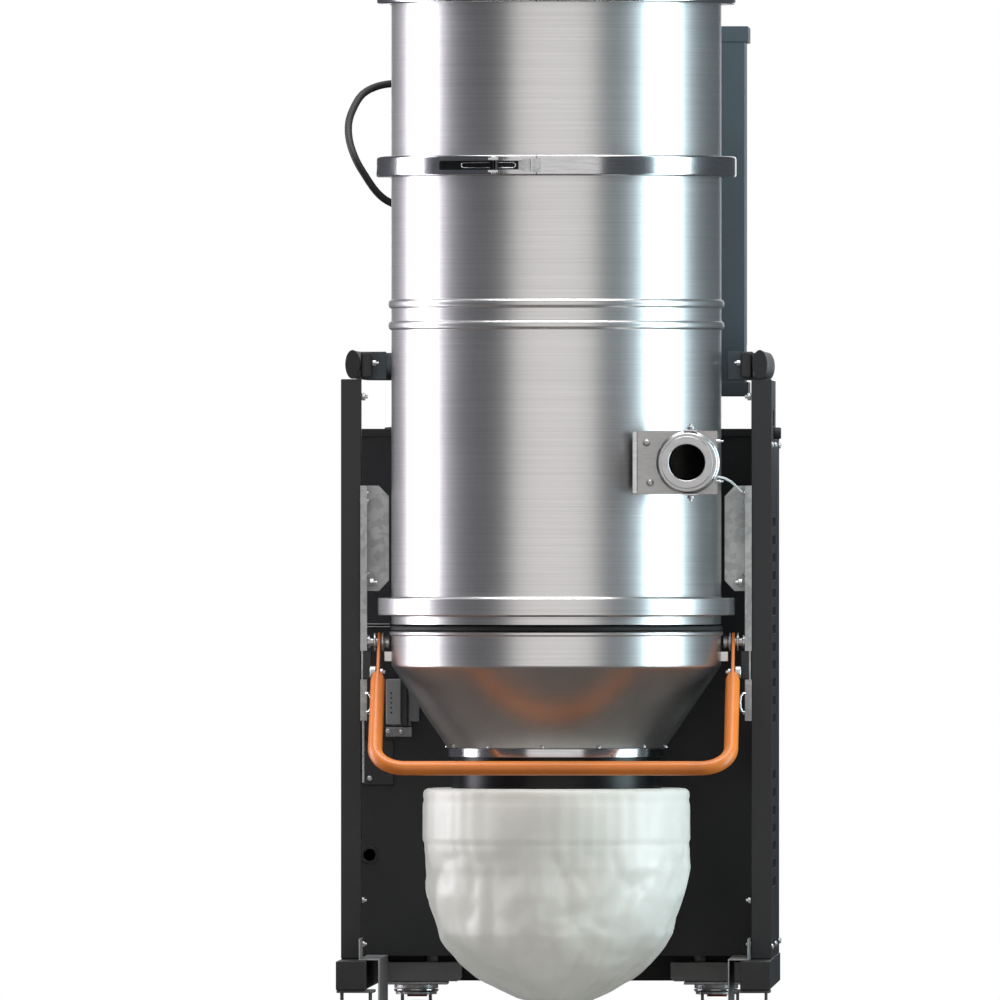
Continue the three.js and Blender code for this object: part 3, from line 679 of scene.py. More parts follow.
def strapMesh(bm, angles, radius, thick, lowZ, highZ):
    # a strap bowed round the drum's axis between two angles
    section = [bm.verts.new(onRing(angles[0], r, z)) for r, z in
               ((radius, lowZ), (radius + thick, lowZ), (radius + thick, highZ), (radius, highZ))]
    loop = [bm.edges.new((section[k], section[(k + 1) % 4])) for k in range(4)]
    start = bm.faces.new(section)
    made = bmesh.ops.spin(bm, geom=[start] + loop, cent=(drumX, drumY, 0), axis=(0, 0, 1),
                          angle=angles[1] - angles[0], steps=12)
    return made


def makeClampRing(label, z):
    bm = bmesh.new()
    turnedMesh(bm, ringOutline(z), (drumX, drumY, 0), sides=shell["sides"])
    # welded base of the latch
    strapMesh(bm, (-0.47, -0.27), 0.2508, 0.0018, z - 0.0105, z + 0.0105)
    for side in (-1, 1):
        low = z + side * 0.0085 - 0.0016
        boxMesh(bm, (latch["pivotX"] - 0.007, drumY - 0.2645, low),
                (latch["pivotX"] + 0.007, drumY - 0.244, low + 0.0032),
                0.0005)
    ring = finishPiece(bm, f"clampRing_{label}", polishedSteel, "frame",
                       (f"clamp_ring_{label}",))
    bm = bmesh.new()
    strapMesh(bm, (-0.0860, -0.0825), 0.2505, 0.0012, z - 0.0144, z + 0.0144)
    finishPiece(bm, f"ringSplit_{label}", blackRubber, "frame")
    bm = bmesh.new()
    pivot = onRing(-0.3206, latch["reach"] - 0.0035, z)
    for axis, side in (("+Z", 1), ("-Z", -1)):
        screwHead(bm, (pivot.x, pivot.y, z + side * 0.0102), axis, 0.0036, 0.002, False)
    finishPiece(bm, f"latchRivets_{label}", zincPlate, "frame")
    return ring


def makeLatch(label, z):
    body = f"latch_{label}"
    tip, root, catch = -latch["leverEnd"], -latch["leverStart"], -0.158
    radius = 0.2572
    bm = bmesh.new()
    # two side rails and a bright end cap, with a black floor between them as painted shade in the recess
    for low in (z - 0.0078, z + 0.0062):
        strapMesh(bm, (root - 0.02, tip), radius - 0.001, 0.0046, low, low + 0.0016)
    strapMesh(bm, (tip + 0.045, tip), radius, 0.0040, z - 0.0078, z + 0.0078)
    finishPiece(bm, f"latchLever_{label}", polishedSteel, body, (f"latch_lever_{label}",))
    bm = bmesh.new()
    strapMesh(bm, (root - 0.02, tip + 0.045), radius - 0.0006, 0.0012, z - 0.0062, z + 0.0062)
    finishPiece(bm, f"latchShadeFloor_{label}", blackSleeve, body)
    # the fixed yoke carries on to the catch, with the same rails and a black floor of painted shade
    bm = bmesh.new()
    for low in (z - 0.0078, z + 0.0062):
        strapMesh(bm, (catch, root), radius - 0.0035, 0.0042, low, low + 0.0016)
    finishPiece(bm, f"latchYoke_{label}", polishedSteel, "frame")
    bm = bmesh.new()
    strapMesh(bm, (catch, root), radius - 0.0035, 0.0012, z - 0.0062, z + 0.0062)
    finishPiece(bm, f"latchYokeShadeFloor_{label}", blackSleeve, "frame")
    bm = bmesh.new()
    strapMesh(bm, (-0.1165, catch), 0.2526, 0.0018, z - 0.0088, z + 0.0088)
    strapMesh(bm, (-0.0640, -0.1050), 0.2526, 0.0016, z - 0.0098, z + 0.0098)
    strapMesh(bm, (-0.0740, -0.1000), 0.2542, 0.0012, z - 0.0060, z + 0.0060)
    strapMesh(bm, (catch + 0.006, catch - 0.022), 0.2544, 0.0016, z - 0.0056, z + 0.0056)
    finishPiece(bm, f"latchCatch_{label}", zincPlate, "frame")
    # bright wire bail, half on the lever and half on the yoke
    for part, near, far, owner in (("Lever", -0.505, -0.338, body), ("Yoke", -0.198, -0.292, "frame")):
        step = 0.012 if near < far else -0.012
        reach = radius + (0.0018 if part == "Lever" else -0.0012)
        wire = [onRing(far, reach, z + 0.0036), onRing(near + step, reach, z + 0.0036),
                onRing(near, reach, z + 0.0018),
                onRing(near, reach, z - 0.0018), onRing(near + step, reach, z - 0.0036),
                onRing(far, reach, z - 0.0036)]
        tubePiece(f"latchWire{part}_{label}", wire, 0.0008, polishedSteel, owner)


for label, z in (("mid", midRingZ), ("top", topRingZ)):
    makeClampRing(label, z)
    makeLatch(label, z)

# inlet
print("stage: inlet")
inlet = {"x": 0.188, "z": 0.859, "bore": 0.0252, "ring": 0.0362, "collar": 0.041}
tubeLow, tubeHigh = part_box("inlet_tube")
inletLow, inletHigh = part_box("inlet_box")


def makeInlet():
    softCopy("inlet_box", shadedInletSteel, 0.0007)
    front, back = tubeLow[1], tubeHigh[1]
    long = back - front
    ring, bore, collar = inlet["ring"], inlet["bore"], inlet["collar"]
    outline = [(bore + 0.0008, 0.0), (ring - 0.0012, 0.0)] + arc(ring - 0.0012, 0.0012, 0.0012, -90, 0, 3)[1:]
    outline += [(ring, 0.011), (ring - 0.0026, 0.013), (ring - 0.0026, long - 0.031),
                (collar - 0.001, long - 0.030),
                (collar, long - 0.029), (collar, long), (bore, long), (bore, 0.0008)]
    turnedPiece("inletTube", outline, (inlet["x"], front, inlet["z"]), ringSteel, "frame", "Y", 96,
                ("inlet_tube",))
    # painted shade: a black sleeve darkens the bore from 12 mm in, where shade falls inside the tube
    boreShade = [(bore - 0.0006, 0.012), (bore - 0.0001, 0.012), (bore - 0.0001, long + 0.02),
             (bore - 0.0006, long + 0.02)]
    turnedPiece("inletBoreShade", boreShade, (inlet["x"], front, inlet["z"]), blackRubber, "frame", "Y", 64)
    weld = [(collar - 0.001, 0.0), (collar + 0.003, 0.0), (collar + 0.0012, -0.0022),
            (collar - 0.001, -0.003)]
    turnedPiece("inletWeld", weld, (inlet["x"], inletLow[1] - 0.0002, inlet["z"]), shadedInletSteel, "frame", "Y",
                64)
    plateY = inletLow[1]
    left = inletLow[0]
    # bright folded lip down the plate's left edge
    boxPiece("inletLip", (left, plateY - 0.0052, inletLow[2] + 0.001),
             (left + 0.0068, plateY - 0.0002, inletHigh[2] - 0.001),
             polishedSteel, bevel=0.0012)
    spots = [((left + 0.0195, plateY, inletHigh[2] - 0.0165), "-Y", 0.0052, 0.0085, False),
             ((left + 0.0245, plateY, inletLow[2] + 0.0160), "-Y", 0.0052, 0.0085, False),
             ((inlet["x"] + 0.004, plateY - 0.006, inletHigh[2] + 0.0016), "+Z", 0.0052, 0.0048, True),
             ((inlet["x"] + 0.004, plateY - 0.006, inletLow[2] - 0.0016), "-Z", 0.0052, 0.0048, True),
             ((inletHigh[0] - 0.002, plateY - 0.004, inletHigh[2] - 0.0145), "+X", 0.0030, 0.006, True),
             ((inletHigh[0] - 0.002, plateY - 0.004, inletLow[2] + 0.0175), "+X", 0.0030, 0.006, True)]
    fastenerPiece("inletFasteners", spots)
    boxPiece("inletEarTop", (inlet["x"] - 0.006, plateY - 0.014, inletHigh[2] - 0.001),
             (inlet["x"] + 0.014, plateY - 0.0004, inletHigh[2] + 0.0014), brushedSteel)
    boxPiece("inletEarBottom", (inlet["x"] - 0.006, plateY - 0.014, inletLow[2] - 0.0014),
             (inlet["x"] + 0.014, plateY - 0.0004, inletLow[2] + 0.001), brushedSteel)
    # clear tube for the pressure tapping, from the inlet round to the side bracket
    tap = [(0.2245, plateY + 0.006, 0.8392), (0.2315, plateY + 0.010, 0.8388),
           (0.2385, plateY + 0.020, 0.8370),
           (0.2460, plateY + 0.042, 0.8330), (0.2520, plateY + 0.075, 0.8270),
           (0.2560, plateY + 0.115, 0.8220),
           (0.2580, plateY + 0.155, 0.8190), (0.2585, plateY + 0.185, 0.8185)]
    tubePiece("pressureTap", tap, 0.0017, paleTube, "frame")


makeInlet()

# hopper, neck and magazine
print("stage: hopper and neck")


def makeHopper():
    radius, inner = shell["radius"], shell["radius"] - shell["wall"]
    rim, coneTop, foot = hopperHigh[2], 0.574, hopperLow[2]
    outline = [(inner, rim), (radius + 0.0018, rim), (radius + 0.003, rim - 0.0012),
               (radius + 0.003, rim - 0.0045),
               (radius + 0.0004, rim - 0.0062), (radius, rim - 0.008), (radius, coneTop + 0.004),
               (radius - 0.0008, coneTop + 0.001), (radius - 0.003, coneTop - 0.002)]
    outline += [(0.1535, foot + 0.0025), (0.152, foot), (0.149, foot), (inner - 0.001, coneTop)]
    bm = bmesh.new()
    turnedMesh(bm, outline, (drumX, drumY, 0), sides=shell["sides"])
    for side in (-1, 1):
        lug = sorted((side * 0.2285, side * 0.240))
        boxMesh(bm, (lug[0], drumY - 0.012, 0.582), (lug[1], drumY + 0.012, 0.596), 0.001)
    skin = finishPiece(bm, "hopperSkin", brushedSteel, "hopper_unit", ("hopper",))
    skin.data.materials.append(blastedSteel)
    for face in skin.data.polygons:
        face.material_index = int(face.center.z < coneTop and face.normal.z < -0.1)
    sealLow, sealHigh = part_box("hopper_seal")
    seal = [(inner - 0.001, sealLow[2]), (radius + 0.0012, sealLow[2])]
    seal += arc(radius - 0.001, (sealLow[2] + sealHigh[2]) / 2, 0.0037, -80, 80, 6)
    seal += [(radius - 0.001, sealHigh[2]), (inner - 0.001, sealHigh[2])]
    turnedPiece("hopperSeal", seal, (drumX, drumY, 0), blackRubber, "hopper_unit", sides=128,
                stands=("hopper_seal",))


def makeNeck():
    low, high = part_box("neck_ring")
    rim = [(0.1455, low[2]), (0.151, low[2])] + arc(0.151, low[2] + 0.001, 0.001, -90, 0, 2)[1:]
    rim += [(0.152, high[2] - 0.001), (0.151, high[2]), (0.1455, high[2])]
    turnedPiece("neckRing", rim, (drumX, drumY, 0), polishedSteel, "hopper_unit", sides=128,
                stands=("neck_ring",))
    bm = bmesh.new()
    for k in range(12):
        angle = math.radians(-6 + 30 * k)
        place = (drumX + 0.1535 * math.sin(angle), drumY - 0.1535 * math.cos(angle), high[2] + 0.0004)
        screwHead(bm, place, "+Z", 0.0030, 0.0030, k % 2 == 0)
    finishPiece(bm, "neckScrews", zincPlate, "hopper_unit")
    low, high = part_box("bag_magazine")
    top, foot = high[2], low[2]
    tube = [(0.141, foot), (0.147, foot), (0.147, foot + 0.012), (0.1462, foot + 0.014),
            (0.1462, top - 0.016),
            (0.147, top - 0.014), (0.147, top), (0.141, top)]
    turnedPiece("bagMagazine", tube, (drumX, drumY, 0), blackSleeve, "hopper_unit", sides=128,
                stands=("bag_magazine",))


makeHopper()
makeNeck()

# plastic bag
print("stage: bag")
bagPlan = {"sides": 176, "rows": 72, "wall": 0.0012, "seamDrop": 0.018, "bandDrop": 0.078}
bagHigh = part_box("bag")[1]


def bagRadius(depth):
    # outline down from the shoulder: a straight band, then a belly that tapers to a pouch
    stops = [(0.0, 0.1845), (0.018, 0.1858), (0.077, 0.1862), (0.11, 0.1868), (0.150, 0.182), (0.185, 0.173),
             (0.205, 0.169), (0.222, 0.158), (0.245, 0.137), (0.265, 0.112), (0.282, 0.082), (0.296, 0.05),
             (0.306, 0.0)]
    for (a, ra), (b, rb) in zip(stops, stops[1:]):
        if depth <= b:
            t = (depth - a) / (b - a)
            return ra + (rb - ra) * t
    return 0.0


def crumple(angle, depth):
    # soft flats with sharp folds between them, and gathers that fade below the band
    spot = Vector((math.cos(angle) * 1.5, math.sin(angle) * 1.5, depth * 9 + angle * 0.6))
    near = noise.voronoi(spot)[0]
    fold = min(1.0, (near[1] - near[0]) * 1.7)
    fine = noise.voronoi(Vector((spot.x * 2.6, spot.y * 2.6, spot.z * 1.6)) + Vector((3, 1, 7)))[0]
    fineFold = min(1.0, (fine[1] - fine[0]) * 3.0)
    wave = noise.noise(Vector((math.cos(angle) * 1.1, math.sin(angle) * 1.1, depth * 6 + 4)))
    strength = min(1.0, max(0.0, (depth - 0.072) / 0.05))
    gather = math.sin(angle * 38 + 4 * math.sin(angle * 5)) * 0.0006
    # upright creases that start at the welded band and die out down the belly
    crease = abs(math.sin(angle * 13 + 2.2 * math.sin(angle * 3 + depth * 9)))
    reach = max(0.0, 1 - abs(depth - 0.125) / 0.055)
    gather -= 0.0034 * reach * max(0.0, 1 - crease * 4)
    move = strength * (-0.0085 * (1 - fold) - 0.0022 * (1 - fineFold) + 0.010 * wave + 0.002)
    return move + gather * (1 - 0.6 * strength)


def makeBag():
    top = bagHigh[2]
    bm = bmesh.new()
    neck = [(0.149, top - 0.001), (0.158, top - 0.0004), (0.172, top - 0.0003), (0.180, top - 0.001),
            (0.1838, top - 0.0035)]
    belly = [(bagRadius(d), top - d) for d in
             [0.006 + (0.305 - 0.006) * (k / bagPlan["rows"]) ** 0.92 for k in range(bagPlan["rows"] + 1)]]
    outline = neck + belly[:-1] + [(0.0, top - 0.306)]
    turnedMesh(bm, outline, (drumX, drumY, 0), sides=bagPlan["sides"], closed=False)
    for vert in bm.verts:
        x, y = vert.co.x - drumX, vert.co.y - drumY
        radius = math.hypot(x, y)
        depth = top - vert.co.z
        if radius < 1e-5 or depth < 0.004:
            continue
        angle = math.atan2(y, x)
        push = crumple(angle, depth) * min(1.0, radius / 0.05)
        # welded seam lines round the band, one at its foot
        for seam, width in ((bagPlan["seamDrop"], 0.003), (bagPlan["bandDrop"], 0.0035)):
            push -= 0.0016 * math.exp(-((depth - seam) / width) ** 2)
        # the pouch sags to the left, as the film hangs a little off centre
        lean = max(0.0, depth - 0.18) ** 2
        vert.co.x += x / radius * push + 0.10 * lean
        vert.co.y += y / radius * push - 0.2 * lean
        if depth > 0.2:
            vert.co.z += 0.006 * noise.noise(Vector((x * 20, y * 20, 2.0)))
    bmesh.ops.recalc_face_normals(bm, faces=bm.faces[:])
    bmesh.ops.solidify(bm, geom=bm.faces[:], thickness=bagPlan["wall"])
    bag = finishPiece(bm, "plasticBag", bagFilm, "hopper_unit", ("bag",), 60)
    return bag


makeBag()

# orange bail
print("stage: bail")
bail = {"legX": 0.247, "bar": 0.0100, "bend": 0.042, "flat": 0.0021, "pivotZ": 0.609, "barY": -0.213,
        "barZ": 0.435}


def makeBail():
    pivot = Vector((0, drumY, bail["pivotZ"]))
    reach = Vector((0, bail["barY"], bail["barZ"] - bail["pivotZ"]))
    down = reach.normalized()
    side = bail["legX"]
    corners = [pivot + Vector((-side, 0, 0)) + down * 0.084, pivot + Vector((-side, 0, 0)) + reach,
               pivot + Vector((side, 0, 0)) + reach, pivot + Vector((side, 0, 0)) + down * 0.084]
    path = bentPath(corners, bail["bend"], 14)
    tubePiece("bailBar", path, bail["bar"], orangeCoat, "bail", ("bail_lever",))
    bm = bmesh.new()
    tilt = math.atan2(-reach.y, -reach.z)
    for sign in (-1, 1):
        start = set(bm.verts)
        # flattened end: an eye at the pivot, widening into the round bar
        outline = arc(0, 0, 0.0135, 10, 170, 10) + [(-0.012, -0.05), (-0.0102, -0.088), (0.0102, -0.088),
                                                    (0.012, -0.05)]
        verts = [bm.verts.new((-bail["flat"], y, z)) for y, z in outline]
        face = bm.faces.new(verts)
        made = bmesh.ops.extrude_face_region(bm, geom=[face])
        moved = [item for item in made["geom"] if isinstance(item, bmesh.types.BMVert)]
        bmesh.ops.translate(bm, vec=(2 * bail["flat"], 0, 0), verts=moved)
        fresh = [vert for vert in bm.verts if vert not in start]
        edges = list({edge for vert in fresh for edge in vert.link_edges if edge.calc_face_angle(0) > 0.6})
        bmesh.ops.bevel(bm, geom=edges, offset=0.0008, segments=2, profile=0.5, affect="EDGES", material=-1)
        fresh = [vert for vert in bm.verts if vert not in start]
        place = Matrix.Translation(pivot + Vector((sign * side, 0, 0))) @ Matrix.Rotation(-tilt, 4, "X")
        bmesh.ops.transform(bm, matrix=place, verts=fresh)
        # shoulder where the bar is pressed flat
        shoulder = [(0, -0.022), (0.0024, -0.021), (0.0040, -0.016), (0.0066, -0.009), (0.0086, -0.003),
                    (0.0097, 0.003),
                    (0.0099, 0.006), (0, 0.006)]
        start = set(bm.verts)
        turnedMesh(bm, shoulder, (0, 0, 0), sides=24)
        fresh = [vert for vert in bm.verts if vert not in start]
        spot = pivot + Vector((sign * side, 0, 0)) + down * 0.081
        turn = down.to_track_quat("Z", "Y").to_matrix().to_4x4()
        bmesh.ops.transform(bm, matrix=Matrix.Translation(spot) @ turn, verts=fresh)
    finishPiece(bm, "bailEnds", orangeCoat, "bail")
    # cam rollers on the legs, with their bolts
    bm = bmesh.new()
    for sign in (-1, 1):
        spot = pivot + Vector((sign * side, 0, 0)) + down * 0.066
        wheel = [(0.0, 0.0), (0.0078, 0.0), (0.0085, 0.0008), (0.0085, 0.0072), (0.0078, 0.008), (0.0, 0.008)]
        turnedMesh(bm, wheel, spot + Vector((0.0032 if sign > 0 else -0.0112, 0, 0)), "X", 32)
        screwHead(bm, spot - Vector((sign * 0.0028, 0, 0)), "-X" if sign > 0 else "+X", 0.0055, 0.004, True)
    finishPiece(bm, "bailRollers", zincPlate, "bail")


makeBail()

# frame, handle and side brackets
print("stage: frame, handle and brackets")
boxFinish = {
    "base_rail_left": darkCoat, "base_rail_right": darkCoat, "post_left": darkCoat, "post_right": darkCoat,
    "rear_cross_rail": darkCoat, "castor_mount_left": litMountCoat, "castor_mount_right": litMountCoat,
    "bag_tray": galvanised,
    "side_bracket_left": galvanised, "side_bracket_right": galvanised, "cabinet_shell": cabinetCoat,
    "cabinet_side_right": cabinetCoat, "cabinet_rear_panel": cabinetCoat, "electrical_cupboard": cupboardCoat,
    "cupboard_door": cupboardCoat, "cupboard_stand": darkCoat, "blower_shelf": zincPlate,
    "blower_housing": greyCoat,
    "blower_motor": greyCoat, "blower_impeller": zincPlate, "terminal_block": greyMould,
    "bail_pivot_left": zincPlate, "bail_pivot_right": zincPlate, "lead_fitting": zincPlate,
    "exhaust_silencer": greyCoat, "filter_plate": zincPlate, "main_switch": redMould,
    "start_button": greenMould,
    "stop_button": redMould, "brake_pedal_left": redMould, "brake_pedal_right": redMould,
}
boxBevel = {"base_rail": 0.0025, "post": 0.002, "bag_tray": 0.0004, "side_bracket": 0.0005, "cabinet": 0.0005,
            "cupboard_door": 0.0007, "electrical": 0.0007, "castor_mount": 0.0008, "rear_cross": 0.002}


def bevelFor(node):
    return next((size for start, size in boxBevel.items() if node.startswith(start)), 0.0006)


for node, material in boxFinish.items():
    softCopy(node, material, bevelFor(node))


handlePlan = {
    "tube": 0.0098, "inset": 0.0102, "bend": 0.062, "clampX": (0.2725, 0.2570), "strapX": (0.2735, 0.238),
    "boltX": 0.2715, "railBolts": (0.188, 0.249),
}


def makeHandle():
    low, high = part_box("handle")
    z = (low[2] + high[2]) / 2
    side, rear, front = high[0] - handlePlan["inset"], high[1] - handlePlan["inset"], low[1]
    corners = [(-side, front, z), (-side, rear, z), (side, rear, z), (side, front, z)]
    tubePiece("handleBar", bentPath(corners, handlePlan["bend"], 14), handlePlan["tube"], darkCoat, "frame",
              ("handle",), 2.0)
    # oval end caps
    for name, sign in (("Left", -1), ("Right", 1)):
        cap = [(sign * side, front - 0.0030, z), (sign * side, front + 0.004, z)]
        tubePiece(f"handleCap{name}", cap, 0.0102, blackRubber, "frame", oval=1.98)
        # clamp block, bolt and plate that hold the handle to the post
        inner = sorted(sign * x for x in handlePlan["clampX"])
        boxPiece(f"handleClamp{name}", (inner[0], drumY - 0.012, z - 0.019),
                 (inner[1], drumY + 0.026, z + 0.017),
                 darkCoat, bevel=0.004)
        strap = sorted(sign * x for x in handlePlan["strapX"])
        boxPiece(f"handleStrap{name}", (strap[0], drumY + 0.028, z - 0.021),
                 (strap[1], drumY + 0.031, z + 0.018),
                 cupboardCoat, bevel=0.0012)
    spots = []
    for sign, axis in ((-1, "+X"), (1, "-X")):
        x = sign * 0.2565
        spots.append(((x, drumY + 0.004, z + 0.002), axis, 0.0042, 0.005, True))
        spots.append(((sign * handlePlan["boltX"], drumY, z - 0.045), axis, 0.006, 0.005, True))
        for height in handlePlan["railBolts"]:
            spots.append(((sign * handlePlan["boltX"], drumY - 0.002, height), axis, 0.0045, 0.0042, True))
    fastenerPiece("postBolts", spots)


bracketPlan = {
    "innerX": 0.2686, "slotX": 0.2575, "slotZ": (0.5575, 0.5965), "flangeX": (0.2728, 0.2632),
    "flanges": ((0.4995, 0.5570), (0.5966, 0.8270)), "washers": (0.2405, 0.2515), "pivotZ": 0.609,
    "hook": 0.0021,
}


def makeBrackets():
    spots, dark = [], []
    for sign, axis in ((-1, "+X"), (1, "-X")):
        inner = sign * bracketPlan["innerX"]
        spots.append(((inner, drumY - 0.012, 0.817), axis, 0.0045, 0.004, True))
        spots.append(((inner, drumY - 0.012, 0.510), axis, 0.0048, 0.005, True))
        spots.append(((sign * 0.2635, drumY + 0.0178, 0.8045), "-Y", 0.0036, 0.003, False))
        spots.append(((sign * 0.2635, drumY + 0.0178, 0.7025), "-Y", 0.0036, 0.003, False))
        spots.append(((sign * 0.2600, drumY - 0.010, 0.692), axis, 0.0062, 0.006, True))
        # spring latch plate under the pivot, with a small bright hook
        low, high = sorted((inner, sign * bracketPlan["slotX"]))
        foot, top = bracketPlan["slotZ"]
        dark.append(((low, drumY - 0.024, foot), (high, drumY - 0.006, top)))
    fastenerPiece("bracketBolts", spots)
    bm = bmesh.new()
    for sign in (-1, 1):
        for foot, top in bracketPlan["flanges"]:
            low, high = sorted(sign * x for x in bracketPlan["flangeX"])
            boxMesh(bm, (low, drumY - 0.0236, foot), (high, drumY - 0.0221, top), 0.0004)
    finishPiece(bm, "bracketFlanges", galvanised, "frame")
    bm = bmesh.new()
    for low, high in dark:
        boxMesh(bm, low, high, 0.0012)
    finishPiece(bm, "bracketSlots", blackGloss, "frame")
    bm = bmesh.new()
    for sign in (-1, 1):
        washer = [(0.0066, 0.0), (0.0125, 0.0), (0.0132, 0.0008), (0.0132, 0.0024), (0.0125, 0.0032),
                  (0.0066, 0.0032)]
        for offset in bracketPlan["washers"]:
            low = sign * offset if sign > 0 else sign * offset - 0.0032
            turnedMesh(bm, washer, (low, drumY, bracketPlan["pivotZ"]), "X", 32)
        screwHead(bm, (sign * bracketPlan["washers"][0], drumY, bracketPlan["pivotZ"]),
                  "-X" if sign > 0 else "+X", 0.0088, 0.0018, False)
    finishPiece(bm, "pivotWashers", zincPlate, "frame")
    for name, sign in (("Left", -1), ("Right", 1)):
        hook = [(sign * 0.2625, drumY - 0.03, 0.512), (sign * 0.2590, drumY - 0.034, 0.513),
                (sign * 0.2570, drumY - 0.036, 0.518), (sign * 0.2565, drumY - 0.036, 0.526),
                (sign * 0.2575, drumY - 0.036, 0.534), (sign * 0.2605, drumY - 0.034, 0.538),
                (sign * 0.2640, drumY - 0.03, 0.538)]
        tubePiece(f"springHook{name}", hook, bracketPlan["hook"], polishedSteel, "frame")


makeHandle()
makeBrackets()

# cabinet details
print("stage: cabinet and cupboard details")
cabinetLow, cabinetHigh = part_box("cabinet_shell")


def plateOn(front, name, plan):
    # y in the plan is the distance in front of the face
    low, high, material, slot, bevel = plan
    low, high = (low[0], front - low[1], low[2]), (high[0], front - high[1], high[2])
    boxPiece(name, low, high, material, bevel=bevel)


# low and high corner, then material, slot and bevel
cabinetBoxes = {
    "gearPanel": ((-0.2790, 0.010, 0.407), (-0.2350, 0.0005, 0.470), darkCoat, "dark_paint", 0.0015),
    "panelEdge": ((-0.2790, 0.013, 0.4105), (-0.2760, 0.0104, 0.4985), polishedSteel, "zinc", 0.0004),
    "doublePlateTop": ((-0.272, 0.016, 0.6325), (-0.2405, 0.0005, 0.6338), zincPlate, "zinc", 0.0004),
    "doublePlateFoot": ((-0.272, 0.016, 0.6288), (-0.2405, 0.0005, 0.6300), zincPlate, "zinc", 0.0004),
}


def makeCabinetDetails():
    front = cabinetLow[1]
    # folded lip along the top edge, then the small plates on the front
    boxPiece("cabinetLip", (cabinetLow[0] + 0.001, front - 0.004, cabinetHigh[2] - 0.0115),
             (cabinetHigh[0] - 0.001, front - 0.0003, cabinetHigh[2] - 0.0005), cabinetCoat,
             bevel=0.001)
    for name, plan in cabinetBoxes.items():
        plateOn(front, name, plan)
    grommet = [(0.0085, 0.0), (0.0125, 0.0), (0.0132, 0.001), (0.0125, 0.0022), (0.0085, 0.0022)]
    turnedPiece("serviceGrommet", grommet, (-0.269, front - 0.0026, 0.309), blackRubber, "frame", "Y", 40)
    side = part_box("cabinet_side_right")[1]
    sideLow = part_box("cabinet_side_right")[0]
    spots = [((side[0], y, z), "+X", 0.0042, 0.0034, False)
             for y in (sideLow[1] + 0.02, sideLow[1] + 0.28, side[1] - 0.02) for z in (0.184, 0.884)]
    spots += [((-0.2690, front - 0.0100, 0.4165), "-Y", 0.004, 0.003, False)]
    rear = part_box("cabinet_rear_panel")[1]
    spots += [((x, rear[1], z), "+Y", 0.0045, 0.003, False) for x in (-0.285, 0, 0.285) for z in (0.185,
            0.89)]
    fastenerPiece("cabinetScrews", spots)
    cap = [(0.0, 0.0), (0.0072, 0.0), (0.0082, 0.001), (0.0082, 0.008), (0.0072, 0.010), (0.0, 0.010)]
    turnedPiece("sideCap", cap, (side[0], sideLow[1] + 0.19, 0.9005), blackRubber, "frame", "X", 32)
    # collar where the suction pipe enters the cabinet
    x, y = -0.200, cabinetHigh[1] - 0.090
    collar = [(0.0375, 0.0), (0.056, 0.0), (0.056, 0.0022), (0.043, 0.0035), (0.0395, 0.010), (0.0375, 0.010)]
    turnedPiece("pipeCollar", collar, (x, y, cabinetHigh[2] + 0.0002), blackRubber, "frame", "Z", 64)


connectorPlan = {"pins": 5, "pinFoot": 0.509, "pinPitch": 0.0068}
connectorBoxes = {
    "connectorFace": ((-0.245, 0.006, 0.492), (-0.224, 0.0004, 0.556), paleMould, "black_plastic", 0.0016),
    "connectorGuard": ((-0.2225, 0.012, 0.490), (-0.2150, 0.0003, 0.560), blackGloss, "black_plastic", 0.001),
    "junctionBox": ((-0.2140, 0.004, 0.496), (-0.1985, -0.0252, 0.5425), greyMould, "black_plastic", 0.002),
    "connectorShelf": ((-0.2450, 0.010, 0.4750), (-0.2085, 0.0003, 0.4885), greyCoat, "grey_paint", 0.0015),
}


def makeConnector():
    # connector block on the cabinet's front at the left, with its terminals, guard and small junction box
    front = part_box("terminal_block")[0][1]
    plateOn(front, "connectorFace", connectorBoxes["connectorFace"])
    bm = bmesh.new()
    for k in range(connectorPlan["pins"]):
        screwHead(bm, (-0.2375, front - 0.0060, connectorPlan["pinFoot"] + connectorPlan["pinPitch"] * k),
                  "-Y", 0.0013, 0.0004, False)
    finishPiece(bm, "connectorPins", blackRubber, "frame")
    for name in ("connectorGuard", "junctionBox", "connectorShelf"):
        plateOn(front, name, connectorBoxes[name])
    bm = bmesh.new()
    screwHead(bm, (-0.224, front - 0.010, 0.4820), "-Y", 0.0032, 0.0026, False)
    screwHead(bm, (-0.242, front - 0.010, 0.4830), "-Y", 0.0032, 0.0026, False)
    finishPiece(bm, "connectorScrews", zincPlate, "frame")


cupboardPlan = {"lampRise": 0.056, "hingeInset": 0.06, "lockInset": 0.022}


